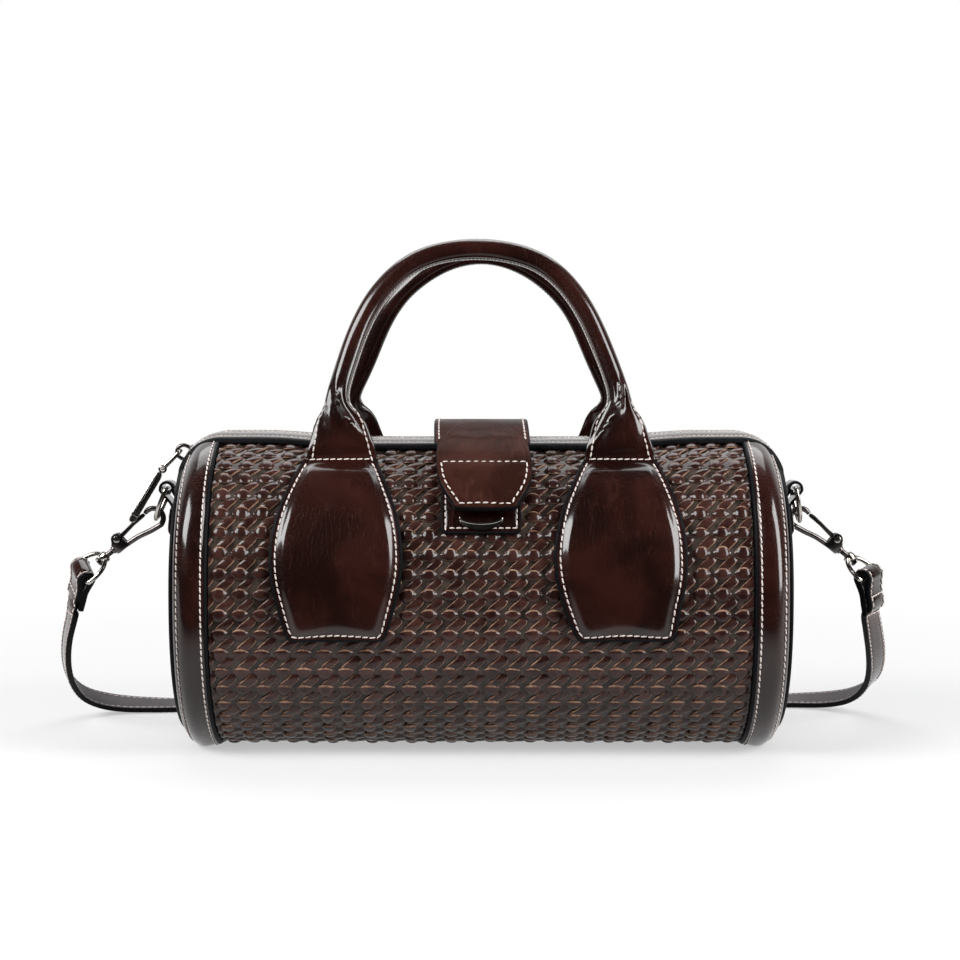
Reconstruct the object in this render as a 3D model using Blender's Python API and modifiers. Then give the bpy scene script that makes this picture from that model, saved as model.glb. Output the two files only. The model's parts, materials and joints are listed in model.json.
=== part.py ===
"""Bowling bag: woven leather barrel with end bands, zipped top, closing flap, two rolled
handles and a clip-on shoulder strap.

Frame: X runs along the barrel, the front faces -Y, Z is up. The origin is on the floor under
the middle of the barrel. Sizes below are in millimetres and become metres by MM.
"""
import math

import bmesh
import bpy
from mathutils import Matrix, Vector

MM = 0.001

# Clearances
GAP = 0.3
RUNNING_GAP = 0.45

# Barrel section, a superellipse flattened underneath
HALF_DEPTH = 74.0
AXIS_HEIGHT = 75.0
TOP_RISE = 75.0
BOTTOM_DROP = 76.2
ROUNDNESS = 2.3
WRAP_ROWS = 27

# Barrel length: woven middle, end bands, domed ends
WOVEN_HALF_LENGTH = 127.0
BAND_WIDTH = 18.0
BAND_END = WOVEN_HALF_LENGTH + BAND_WIDTH
SIDE_SHOULDER_RADIUS = 10.0
SIDE_SHOULDER_START = BAND_END + 1.0 - SIDE_SHOULDER_RADIUS

# The top rises a little towards its ends
CROWN_LIFT = 3.2
CROWN_START = WOVEN_HALF_LENGTH - 72.0
CROWN_END = WOVEN_HALF_LENGTH - 19.0
TOP_SHOULDER_RADIUS = 20.0
DOME_HEIGHT = 6.5
DOME_POWER = 2.5

# Leather and lining thicknesses
WOVEN_INSET = 0.3
WOVEN_THICKNESS = 2.3
BAND_THICKNESS = 3.0
PANEL_THICKNESS = 2.0
PANEL_RIM_INSET = BAND_THICKNESS + GAP
PANEL_RIM_X = BAND_END + 1.0
PIPING_RADIUS = 1.2
LINING_THICKNESS = 0.8
LINING_SEAT = 0.8
LINING_END_INSET = 6.5
LINING_SHOULDER_INSET = 6.0
LINING_MOUTH_HALF_LENGTH = WOVEN_HALF_LENGTH - 5.0
LINING_MOUTH_HALF_WIDTH = 20.0
LINING_MOUTH_CUT = 60.0
BASE_BOARD_LENGTH = 2.0 * WOVEN_HALF_LENGTH - 38.0
BASE_BOARD_WIDTH = 50.0
BASE_BOARD_SEAT = 1.0
BASE_BOARD_THICKNESS = 1.6

# Zipped top
MOUTH_HALF_WIDTH = 24.0
GUSSET_OVERLAP = 3.0
ZIP_SLOT_HALF = 5.5
GUSSET_THICKNESS = 1.6
GUSSET_FOOT = 128.5
SLOT_CLOSED_HALF = 0.25
TAPE_OUTER = 13.0
TAPE_INNER = 1.9
TAPE_THICKNESS = 0.7
ZIP_END_ANGLE = 70.0
TOOTH_PITCH = 6.0
TOOTH_DEPTH = 0.9
TEETH_HALF_WIDTH = 2.6
TEETH_THICKNESS = 1.4
STOP_LENGTH = 2.4
SLIDER_REST_ANGLE = 64.0
SLIDER_LENGTH = 10.0
SLIDER_PLATE = 1.0
SLIDER_FLANGE = 0.85
BAIL_RADIUS = 3.4
BAIL_LEG = 2.0
BAIL_WIRE = 0.7

# Zip pull
LINK_LENGTH = 13.2
LINK_WIDTH = 6.4
LINK_WIRE = 0.8
LINK_LEAN = 45.0
BAR_LENGTH = 33.0
BAR_WIDTH = 3.4
BAR_THICKNESS = 1.8
BAR_EYE = 2.0
BAR_LEAN = 30.5
BAR_TILT = 5.5

# Handles
HANDLE_FROM_BAND = 59.5
HANDLE_HALF_SPAN = WOVEN_HALF_LENGTH - HANDLE_FROM_BAND
TUBE_DIAMETER = 10.5
TUBE_WALL = 1.4
HANDLE_LEAN_FOOT = 38.4
HANDLE_LEAN_TOP = 20.0
NECK_WIDTH_TOP = 15.0
NECK_WIDTH_FOOT = 28.5
NECK_THICKNESS_FOOT = 3.2
NECK_RELIEF = 0.6
HANDLE_SHAPE = ((0.0, 1.0), (0.276, 0.954), (0.519, 0.844), (0.656, 0.746), (0.764, 0.634),
                (0.856, 0.462), (0.918, 0.35), (0.952, 0.3))

# Handle patches, widths at their heights
PATCH_TOP = 141.0
PATCH_NECK_TOP = PATCH_TOP + 4.6
LIFT_OFF = PATCH_TOP - 5.0
HINGE_HEIGHT = PATCH_NECK_TOP + 1.4
HANDLE_RISE = 100.0
HANDLE_TOP = HINGE_HEIGHT + HANDLE_RISE
PAD_RIM = 1.3
PATCH_BOTTOM = 59.5
PATCH_BACKING = 1.3
PATCH_PAD = 3.0
PATCH_WIDTHS = ((147.0, 28.5), (141.0, 35.0), (131.0, 45.5), (121.0, 54.0), (110.0, 60.0), (99.0, 62.4),
                (88.0, 61.0), (76.0, 55.5), (66.0, 50.0), (62.0, 47.0), (59.5, 42.5))

# Flap
FLAP_WIDTH = 44.5
FLAP_THICKNESS = 1.8
FLAP_RISE = 3.0
FLAP_FRONT_LIFT = 6.1
FLAP_HINGE_ANGLE = 66.5
FLAP_RAISED_ANGLE = 84.0
FLAP_TIP_ANGLE = 149.5
ANCHOR_RISE_ANGLE = 50.0
ANCHOR_FOOT_ANGLE = 28.0
TAPER_ANGLE = 124.0
ARCH_FOOT_ANGLE = 119.0
ARCH_APEX_ANGLE = 94.0
ARCH_APEX_WIDTH = 3.0
FACING_WIDTH = 45.5
FACING_THICKNESS = 1.6
FACING_TIP_WIDTH = 29.0
FLAP_MAGNET_RADIUS = 7.0
FLAP_MAGNET_THICKNESS = 1.2

# Catch patch
CATCH_WIDTH = 37.5
CATCH_HEIGHT = 26.3
CATCH_BOTTOM = AXIS_HEIGHT + 33.7
CATCH_TOP = CATCH_BOTTOM + CATCH_HEIGHT
CATCH_THICKNESS = 2.2
KEEPER_WIDTH = 19.7
KEEPER_HEIGHT = 5.4
KEEPER_BOTTOM = CATCH_BOTTOM + 2.1
KEEPER_THICKNESS = 1.3
CATCH_MAGNET_RADIUS = 6.6
CATCH_MAGNET_THICKNESS = 1.0
CATCH_MAGNET_CLEARANCE = 3.7
CATCH_MAGNET_HEIGHT = KEEPER_BOTTOM + KEEPER_HEIGHT + CATCH_MAGNET_CLEARANCE + CATCH_MAGNET_RADIUS

# Ring tabs and D-rings on the ends
TAB_WIDTH = 12.5
TAB_THICKNESS = 2.8
TAB_HINGE_OUT = 12.6
TAB_HINGE_X = BAND_END + TAB_HINGE_OUT
TAB_HINGE_Z = 126.0
TAB_LOOP_RADIUS = 3.9
TAB_LOOP_DROP = 8.0
TAB_HOLE_RADIUS = 1.8
TAB_BODY_FOOT = 101.0
TAB_TAIL_FOOT = 91.0
RING_WIRE = 1.15
DRING_DROP = 17.0
DRING_HALF_WIDTH = 8.0
LEFT_RING_LEAN = 22.0
RIGHT_RING_LEAN = 10.5
LEFT_CLAW_OFFSET = (-1.2, 0.0, 0.6)
RIGHT_CLAW_OFFSET = (0.4, 0.0, 1.5)

# Trigger hooks and swivel rings
HOOK_WIRE = 1.4
SPINE_FOOT = -1.9
PIVOT_ALONG = 20.9
EYE_RADIUS = 1.75
GATE_HALF_WIDTH = 1.0
GATE_HALF_THICKNESS = 0.9
HEAD_LENGTH = 1.5
HEAD_CLEARANCE = 1.3
CLAW_RADIUS = 4.9
HOOK_LENGTH = 32.0
HOOK_ANGLE = 38.5
KNUCKLE_START = 18.5
KNUCKLE_END = 25.0
KNUCKLE_HALF_WIDTH = 2.7
KNUCKLE_WALL = 0.9
PIVOT_OUT = 3.1
PIN_RADIUS = 0.8
STEM_RADIUS = 1.4
BOSS_RADIUS = 2.9
BOSS_LENGTH = 3.4
SWIVEL_REACH = 13.3
SWIVEL_HALF_WIDTH = 9.4

# Shoulder strap
STRAP_WIDTH = 15.0
STRAP_THICKNESS = 2.8
LOOP_RADIUS = 3.3
TAIL_LENGTH = 19.0

# Colours, roughness and metallic value
LEATHER = ("glazed_leather", (0.050, 0.022, 0.016), 0.28, 0.0)
WOVEN = ("woven_leather", (0.060, 0.030, 0.024), 0.35, 0.0)
EDGE = ("painted_edge", (0.020, 0.020, 0.023), 0.45, 0.0)
CLOTH = ("lining_cloth", (0.055, 0.040, 0.034), 0.90, 0.0)
NICKEL = ("polished_nickel", (0.62, 0.60, 0.57), 0.16, 1.0)
DARK_NICKEL = ("dark_nickel", (0.18, 0.17, 0.17), 0.25, 1.0)
BOARD = ("stiffener_board", (0.08, 0.07, 0.06), 0.80, 0.0)
STRAP_LEATHER = ("strap_leather", (0.060, 0.030, 0.024), 0.38, 0.0)


def clear_scene():
    for item in list(bpy.data.objects):
        bpy.data.objects.remove(item, do_unlink=True)


def make_collection(name, hidden=False):
    collection = bpy.data.collections.new(name)
    collection.hide_render = hidden
    bpy.context.scene.collection.children.link(collection)
    return collection


clear_scene()
PARTS = make_collection("bowling_bag")
CUTTERS = make_collection("cutters", hidden=True)


def material(finish):
    """One Principled material for each object."""
    name, colour, roughness, metallic = finish
    made = bpy.data.materials.new(name)
    made.use_nodes = True
    shader = made.node_tree.nodes["Principled BSDF"]
    shader.inputs["Base Color"].default_value = (*colour, 1.0)
    shader.inputs["Roughness"].default_value = roughness
    shader.inputs["Metallic"].default_value = metallic
    return made


def add_object(name, mesh, finish=None, smooth=True):
    item = bpy.data.objects.new(name, mesh)
    PARTS.objects.link(item)
    if finish is not None:
        mesh.materials.clear()
        mesh.materials.append(material(finish))
    if smooth:
        mesh.shade_smooth()
        mesh.set_sharp_from_angle(angle=math.radians(35.0))
    return item


def millimetres(point):
    return Vector(point) * MM


def solidify(item, thickness, offset):
    wall = item.modifiers.new("wall", "SOLIDIFY")
    wall.thickness = thickness * MM
    wall.offset = offset
    wall.use_even_offset = False
    wall.use_quality_normals = True
    return wall


def bevel(item, width, segments=1, angle=35.0):
    edge = item.modifiers.new("edge", "BEVEL")
    edge.width = width * MM
    edge.segments = segments
    edge.limit_method = "ANGLE"
    edge.angle_limit = math.radians(angle)
    return edge


def grid_mesh(name, columns, rows, place):
    """A sheet of columns by rows faces, each corner put where place(u, v) says."""
    shape = bmesh.new()
    bmesh.ops.create_grid(shape, x_segments=columns, y_segments=rows, size=0.5)
    for corner in shape.verts:
        u = round((corner.co.x + 0.5) * columns) / columns
        v = round((corner.co.y + 0.5) * rows) / rows
        corner.co = millimetres(place(u, v))
    bmesh.ops.remove_doubles(shape, verts=shape.verts, dist=0.00001)
    mesh = bpy.data.meshes.new(name)
    shape.to_mesh(mesh)
    shape.free()
    return mesh


def sheet(name, columns, rows, place, thickness, finish, offset=-1.0):
    """A leather sheet: an open surface with a wall."""
    item = add_object(name, grid_mesh(name, columns, rows, place), finish)
    solidify(item, thickness, offset)
    return item


def closed_loft(name, rings, place, sides, finish):
    """A solid through cross-sections: a capped ring is extruded through points from place(step, side)."""
    shape = bmesh.new()
    bmesh.ops.create_circle(shape, cap_ends=True, segments=sides, radius=1.0)
    shape.faces.ensure_lookup_table()
    cap = shape.faces[0]
    for step in range(rings):
        if step > 0:
            raised = bmesh.ops.extrude_face_region(shape, geom=[cap])["geom"]
            if step > 1:
                bmesh.ops.delete(shape, geom=[cap], context="FACES_ONLY")
            cap = next(item for item in raised if isinstance(item, bmesh.types.BMFace))
        for side, corner in enumerate(cap.verts):
            corner.co = millimetres(place(step, side))
    bmesh.ops.recalc_face_normals(shape, faces=shape.faces)
    mesh = bpy.data.meshes.new(name)
    shape.to_mesh(mesh)
    shape.free()
    return add_object(name, mesh, finish)


def wire_mesh(name, points, radius, cyclic=False, resolution=2):
    """A round wire along points, as a welded mesh."""
    curve = bpy.data.curves.new(name, "CURVE")
    curve.dimensions = "3D"
    curve.bevel_depth = radius * MM
    curve.bevel_resolution = resolution
    curve.use_fill_caps = not cyclic
    spline = curve.splines.new("POLY")
    spline.points.add(len(points) - 1)
    for knot, point in zip(spline.points, points):
        knot.co = (*millimetres(point), 1.0)
    spline.use_cyclic_u = cyclic
    return mesh_from_curve(name, curve)


def mesh_from_curve(name, curve):
    holder = bpy.data.objects.new(name + "_curve", curve)
    PARTS.objects.link(holder)
    bpy.context.view_layer.update()
    evaluated = holder.evaluated_get(bpy.context.evaluated_depsgraph_get())
    mesh = bpy.data.meshes.new_from_object(evaluated)
    bpy.data.objects.remove(holder, do_unlink=True)
    shape = bmesh.new()
    shape.from_mesh(mesh)
    bmesh.ops.remove_doubles(shape, verts=shape.verts, dist=0.00001)
    bmesh.ops.recalc_face_normals(shape, faces=shape.faces)
    shape.to_mesh(mesh)
    shape.free()
    mesh.name = name
    return mesh


def wire(name, points, radius, finish, cyclic=False, resolution=2):
    return add_object(name, wire_mesh(name, points, radius, cyclic, resolution), finish)


def plate_mesh(name, outlines, thickness):
    """A flat plate in its own XY plane, middle at z 0, from an outer outline and any holes."""
    curve = bpy.data.curves.new(name, "CURVE")
    curve.dimensions = "2D"
    curve.fill_mode = "BOTH"
    curve.extrude = 0.5 * thickness * MM
    for outline in outlines:
        spline = curve.splines.new("POLY")
        spline.points.add(len(outline) - 1)
        for knot, (across, up) in zip(spline.points, outline):
            knot.co = (across * MM, up * MM, 0.0, 1.0)
        spline.use_cyclic_u = True
    return mesh_from_curve(name, curve)


def cylinder_mesh(name, radius, length, sides=20):
    """A cylinder along its own Z, middle at the origin."""
    shape = bmesh.new()
    bmesh.ops.create_cone(shape, cap_ends=True, segments=sides, radius1=radius * MM,
                          radius2=radius * MM, depth=length * MM)
    mesh = bpy.data.meshes.new(name)
    shape.to_mesh(mesh)
    shape.free()
    return mesh


def block_mesh(name, size):
    shape = bmesh.new()
    bmesh.ops.create_cube(shape, size=1.0)
    bmesh.ops.scale(shape, vec=millimetres(size), verts=shape.verts)
    mesh = bpy.data.meshes.new(name)
    shape.to_mesh(mesh)
    shape.free()
    return mesh


def frame_at(point, along, across):
    """A placing matrix: local Z runs along, local X is as near across as it can be."""
    z_axis = Vector(along).normalized()
    y_axis = z_axis.cross(Vector(across)).normalized()
    x_axis = y_axis.cross(z_axis)
    turn = Matrix((x_axis, y_axis, z_axis)).transposed()
    return Matrix.Translation(millimetres(point)) @ turn.to_4x4()


def side_frame(up):
    """Turns a flat plate to stand in the XZ plane with its own Y along up."""
    across = Vector((up[2], 0.0, -up[0])).normalized()
    depth = across.cross(up)
    return Matrix((across, up, depth)).transposed().to_4x4()


def combine(target, mesh, matrix, operation):
    """Cuts or joins a mesh placed by matrix."""
    tool = bpy.data.objects.new(target.name + "_" + operation.lower(), mesh)
    CUTTERS.objects.link(tool)
    tool.matrix_world = matrix
    tool.hide_render = True
    tool.display_type = "WIRE"
    step = target.modifiers.new(operation.lower(), "BOOLEAN")
    step.operation = operation
    step.solver = "EXACT"
    step.object = tool
    return tool


def apply_modifiers(item):
    """Freezes the modifiers, so that what follows works on the finished shape."""
    bpy.context.view_layer.update()
    evaluated = item.evaluated_get(bpy.context.evaluated_depsgraph_get())
    mesh = bpy.data.meshes.new_from_object(evaluated)
    item.modifiers.clear()
    item.data = mesh
    return item


def set_origin(item, point):
    """Moves the object's origin to point and leaves its surface where it is."""
    item.data.transform(Matrix.Translation(-millimetres(point)))
    item.location = millimetres(point)


def smooth_route(points, steps):
    """Catmull-Rom points through a hand-chosen route, steps to each stretch."""
    knots = [Vector(point) for point in points]
    ends = [2.0 * knots[0] - knots[1]] + knots + [2.0 * knots[-1] - knots[-2]]
    route = []
    for a, b, c, d in zip(ends, ends[1:], ends[2:], ends[3:]):
        for step in range(steps):
            t = step / steps
            route.append(0.5 * (2.0 * b + (c - a) * t + (2.0 * a - 5.0 * b + 4.0 * c - d) * t ** 2
                                + (3.0 * b - a - 3.0 * c + d) * t ** 3))
    route.append(knots[-1])
    return route


def interpolate(table, key):
    """Straight interpolation in a table of rising or falling keys."""
    for (key_a, value_a), (key_b, value_b) in zip(table, table[1:]):
        if min(key_a, key_b) <= key <= max(key_a, key_b):
            return value_a + (value_b - value_a) * (key - key_a) / (key_b - key_a)
    nearest = min(table, key=lambda row: abs(row[0] - key))
    return nearest[1]


def smoothstep(low, high, value):
    t = min(1.0, max(0.0, (value - low) / (high - low)))
    return t * t * (3.0 - 2.0 * t)


# Barrel surface
def round_off(distance, radius):
    """How far a quarter round of this radius has fallen after a distance."""
    run = min(max(distance, 0.0), radius)
    return radius - math.sqrt(radius ** 2 - run ** 2)


def half_depth(x):
    return HALF_DEPTH - round_off(abs(x) - SIDE_SHOULDER_START, SIDE_SHOULDER_RADIUS)


def top_rise(x):
    lift = CROWN_LIFT * smoothstep(CROWN_START, CROWN_END, abs(x))
    return TOP_RISE + lift - round_off(abs(x) - WOVEN_HALF_LENGTH, TOP_SHOULDER_RADIUS)


def bottom_drop(x):
    return BOTTOM_DROP - round_off(abs(x) - SIDE_SHOULDER_START, SIDE_SHOULDER_RADIUS)


def section_point(x, angle, inset, floor=0.0):
    """Point of the barrel's section at x: angle 0 is the back, 90 the top, 180 the front."""
    cosine = math.cos(math.radians(angle))
    sine = math.sin(math.radians(angle))
    across = math.copysign(abs(cosine) ** (2.0 / ROUNDNESS), cosine)
    up = math.copysign(abs(sine) ** (2.0 / ROUNDNESS), sine)
    height = top_rise(x) if sine > 0.0 else bottom_drop(x)
    y = (half_depth(x) - inset) * across
    z = AXIS_HEIGHT + (height - inset) * up
    return (x, y, max(z, floor))


def mouth_angle(half_width, depth=HALF_DEPTH):
    """Section angle, back of the top, at which an edge lies this far from the middle."""
    return math.degrees(math.acos((half_width / depth) ** (0.5 * ROUNDNESS)))


def front_surface(x, z):
    """Depth y of the front surface at a place on it."""
    reach = abs(z - AXIS_HEIGHT) / (top_rise(x) if z > AXIS_HEIGHT else bottom_drop(x))
    return -half_depth(x) * (1.0 - min(reach, 1.0) ** ROUNDNESS) ** (1.0 / ROUNDNESS)


def top_surface(x, y):
    """Height z of the top surface at a place on it."""
    reach = min(abs(y) / half_depth(x), 1.0)
    return AXIS_HEIGHT + top_rise(x) * (1.0 - reach ** ROUNDNESS) ** (1.0 / ROUNDNESS)


def dome_x(y, z):
    """Distance of the domed end's outer surface from the middle of the bag."""
    up = z - AXIS_HEIGHT
    height = (top_rise(BAND_END) if up > 0.0 else bottom_drop(BAND_END)) - PANEL_RIM_INSET
    depth = half_depth(BAND_END) - PANEL_RIM_INSET
    reach = (abs(y / depth) ** ROUNDNESS + abs(up / height) ** ROUNDNESS) ** (1.0 / ROUNDNESS)
    return PANEL_RIM_X + DOME_HEIGHT * (1.0 - min(reach, 1.0) ** DOME_POWER)


def wrapped(name, stations, inset, thickness, rows, finish):
    """A C-shaped wrap of the barrel through falling x stations, open at the mouth."""
    start = 180.0 - mouth_angle(MOUTH_HALF_WIDTH)
    sweep = 180.0 + 2.0 * mouth_angle(MOUTH_HALF_WIDTH)
    columns = len(stations) - 1

    def place(u, v):
        return section_point(stations[round(u * columns)], start + sweep * v, inset)

    return sheet(name, columns, rows, place, thickness, finish)


# Top of the bag: stations run along it from foot to foot
ARC_END_ANGLE = 72.0
ARC_END = WOVEN_HALF_LENGTH + TOP_SHOULDER_RADIUS * math.radians(ARC_END_ANGLE)
ARC_CENTRE_Z = AXIS_HEIGHT + TOP_RISE + CROWN_LIFT - TOP_SHOULDER_RADIUS
ARC_END_Z = ARC_CENTRE_Z + TOP_SHOULDER_RADIUS * math.cos(math.radians(ARC_END_ANGLE))
FOOT_STATION = ARC_END + ARC_END_Z - GUSSET_FOOT
SLOT_END = ARC_END + 3.0
SLOT_CLOSED = SLOT_END + 5.0
ZIP_END = WOVEN_HALF_LENGTH + TOP_SHOULDER_RADIUS * math.radians(ZIP_END_ANGLE)


def side_drop(x, y):
    """How far the top has fallen at depth y."""
    across = min(abs(x), BAND_END)
    return top_surface(across, 0.0) - top_surface(across, y)


def top_point(station, y, lift):
    """Point on the top at a station, lift above the leather underneath."""
    side = math.copysign(1.0, station)
    along = abs(station)
    if along <= WOVEN_HALF_LENGTH:
        return (station, y, top_surface(along, y) + lift)
    if along <= ARC_END:
        angle = (along - WOVEN_HALF_LENGTH) / TOP_SHOULDER_RADIUS
        radius = TOP_SHOULDER_RADIUS + lift
        x = WOVEN_HALF_LENGTH + radius * math.sin(angle)
        z = ARC_CENTRE_Z + radius * math.cos(angle)
        return (side * x, y, z - side_drop(x, y))
    z = ARC_END_Z - (along - ARC_END) - side_drop(BAND_END, y)
    return (side * (dome_x(y, z) + lift + 0.1), y, z)


def slot_half(station):
    """Half the gap between the two gusset strips."""
    past = (abs(station) - SLOT_END) / (SLOT_CLOSED - SLOT_END)
    if past <= 0.0:
        return ZIP_SLOT_HALF
    opening = math.sqrt(max(0.0, 1.0 - past ** 2))
    return SLOT_CLOSED_HALF + (ZIP_SLOT_HALF - SLOT_CLOSED_HALF) * opening


def gusset_stations():
    """Rising stations from the left foot to the right foot."""
    flat = [CROWN_START, 0.5 * (CROWN_START + CROWN_END), CROWN_END, WOVEN_HALF_LENGTH]
    arc = [WOVEN_HALF_LENGTH + (ARC_END - WOVEN_HALF_LENGTH) * step / 6.0 for step in range(1, 7)]
    end = [SLOT_END, SLOT_END + 2.4, SLOT_END + 4.0, SLOT_CLOSED, FOOT_STATION]
    half = flat + arc + end
    return [-value for value in reversed(half)] + [0.0] + half


def make_barrel():
    rise = [CROWN_END + (CROWN_START - CROWN_END) * step / 4.0 for step in range(5)]
    middle = [WOVEN_HALF_LENGTH] + rise + [-x for x in reversed(rise)] + [-WOVEN_HALF_LENGTH]
    wrapped("woven_panel", middle, WOVEN_INSET, WOVEN_THICKNESS, WRAP_ROWS, WOVEN)
    run = BAND_END - WOVEN_HALF_LENGTH - GAP
    band = [WOVEN_HALF_LENGTH + GAP + run * math.sin(0.5 * math.pi * step / 5.0) for step in range(6)]
    band.insert(1, WOVEN_HALF_LENGTH + 3.0 * GAP)
    wrapped("right_end_band", list(reversed(band)), 0.0, BAND_THICKNESS, WRAP_ROWS, LEATHER)
    wrapped("left_end_band", [-x for x in band], 0.0, BAND_THICKNESS, WRAP_ROWS, LEATHER)
    for name, side in (("left", -1.0), ("right", 1.0)):
        make_end_panel(name, side)
        make_piping(name, side)


def make_end_panel(name, side):
    sides = 26

    def place(u, v):
        _, y, z = section_point(BAND_END, -360.0 * u * side, PANEL_RIM_INSET)
        y = y * v
        z = AXIS_HEIGHT + (z - AXIS_HEIGHT) * v
        return (side * dome_x(y, z), y, z)

    sheet(name + "_end_panel", sides, 4, place, PANEL_THICKNESS, LEATHER)


def make_piping(name, side):
    """A painted roll in the seam between band and domed end, stopped short of the gusset."""
    reach = MOUTH_HALF_WIDTH + GUSSET_OVERLAP + PIPING_RADIUS + GAP
    inset = 0.5 * BAND_THICKNESS
    edge = mouth_angle(reach, half_depth(BAND_END) - inset)
    first = 180.0 - edge
    sweep = 180.0 + 2.0 * edge
    steps = 30
    x = side * (BAND_END + GAP + PIPING_RADIUS)
    points = []
    for step in range(steps + 1):
        _, y, z = section_point(BAND_END, first + sweep * step / steps, inset)
        points.append((x, y, z))
    wire(name + "_end_piping", points, PIPING_RADIUS, EDGE, resolution=1)


def make_gusset():
    stations = gusset_stations()
    columns = len(stations) - 1
    edge = MOUTH_HALF_WIDTH + GUSSET_OVERLAP
    for name, side in (("front_gusset_strip", -1.0), ("back_gusset_strip", 1.0)):

        def place(u, v, side=side):
            station = stations[round((u if side > 0.0 else 1.0 - u) * columns)]
            inner = slot_half(station)
            return top_point(station, side * (inner + (edge - inner) * v), GAP)

        sheet(name, columns, 2, place, GUSSET_THICKNESS, LEATHER, offset=1.0)


def zip_stations(count):
    return [ZIP_END * (2.0 * step / count - 1.0) for step in range(count + 1)]


def make_zip():
    tape = [station for station in gusset_stations() if abs(station) < ZIP_END - 1.0]
    tape = [-ZIP_END] + tape + [ZIP_END]
    half_pitches = 2 * round(ZIP_END / TOOTH_PITCH) * 2
    comb = zip_stations(half_pitches)
    for name, side in (("front", -1.0), ("back", 1.0)):

        def tape_place(u, v, side=side):
            station = tape[round((u if side > 0.0 else 1.0 - u) * (len(tape) - 1))]
            return top_point(station, side * (TAPE_INNER + (TAPE_OUTER - TAPE_INNER) * v), -TAPE_THICKNESS)

        def comb_place(u, v, side=side):
            index = round((u if side > 0.0 else 1.0 - u) * half_pitches)
            zigzag = TOOTH_DEPTH * (-1.0) ** index
            inner = zigzag + side * 0.5 * RUNNING_GAP
            return top_point(comb[index], inner + (side * TEETH_HALF_WIDTH - inner) * v, GAP)

        sheet("zip_tape_" + name, len(tape) - 1, 1, tape_place, TAPE_THICKNESS, CLOTH, offset=1.0)
        sheet("zip_teeth_" + name, half_pitches, 1, comb_place, TEETH_THICKNESS, NICKEL, offset=1.0)
    make_zip_stops()


def make_zip_stops():
    """Crimped stops that close each end of the teeth."""
    for name, side in (("left_zip_stop", -1.0), ("right_zip_stop", 1.0)):
        station = side * (ZIP_END + GAP + 0.5 * STOP_LENGTH)
        here = Vector(top_point(station, 0.0, GAP + 0.5 * TEETH_THICKNESS))
        after = Vector(top_point(station + 0.5, 0.0, GAP + 0.5 * TEETH_THICKNESS))
        mesh = block_mesh(name, (2.0 * TEETH_HALF_WIDTH, TEETH_THICKNESS, STOP_LENGTH))
        mesh.transform(frame_at(here, after - here, (0.0, 1.0, 0.0)))
        bevel(add_object(name, mesh, NICKEL, smooth=False), 0.3)


def make_lining():
    """A cloth liner with closed ends, open along the zip."""
    inset = BAND_THICKNESS + LINING_SEAT
    end_x = BAND_END - LINING_END_INSET
    shares = [0.0, 0.55, 1.0]
    stations = [end_x] * 2 + [end_x - 0.6, 0.5 * (end_x + WOVEN_HALF_LENGTH), WOVEN_HALF_LENGTH]
    stations = stations + [WOVEN_HALF_LENGTH * share for share in (0.85, 0.43)]
    half = [(x, shares[min(index, 2)]) for index, x in enumerate(stations)]
    rings = half + [(0.0, 1.0)] + [(-x, share) for x, share in reversed(half)]
    sides = 22

    def place(u, v):
        x, share = rings[round(u * (len(rings) - 1))]
        shoulder = max(0.0, abs(x) - WOVEN_HALF_LENGTH)
        slope = round_off(shoulder, TOP_SHOULDER_RADIUS) / TOP_SHOULDER_RADIUS
        clear = inset + LINING_SHOULDER_INSET * slope
        _, y, z = section_point(x, 360.0 * v, clear, floor=inset)
        return (x, y * share, AXIS_HEIGHT + (z - AXIS_HEIGHT) * share)

    lining = sheet("lining", len(rings) - 1, sides, place, LINING_THICKNESS, CLOTH)
    mouth = block_mesh("lining_mouth", (2.0 * LINING_MOUTH_HALF_LENGTH, 2.0 * LINING_MOUTH_HALF_WIDTH,
                                      LINING_MOUTH_CUT))
    combine(lining, mouth, Matrix.Translation(millimetres((0.0, 0.0, AXIS_HEIGHT + TOP_RISE))), "DIFFERENCE")

    edge_y = 0.5 * BASE_BOARD_WIDTH
    deep = inset + LINING_THICKNESS
    reach = (edge_y / (HALF_DEPTH - deep)) ** ROUNDNESS
    under = AXIS_HEIGHT - (BOTTOM_DROP - deep) * (1.0 - reach) ** (1.0 / ROUNDNESS) + BASE_BOARD_SEAT
    board = add_object("base_board", block_mesh("base_board", (BASE_BOARD_LENGTH, BASE_BOARD_WIDTH,
                                                               BASE_BOARD_THICKNESS)), BOARD, smooth=False)
    board.location = millimetres((0.0, 0.0, under + 0.5 * BASE_BOARD_THICKNESS))
    bevel(board, 0.4)


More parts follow.
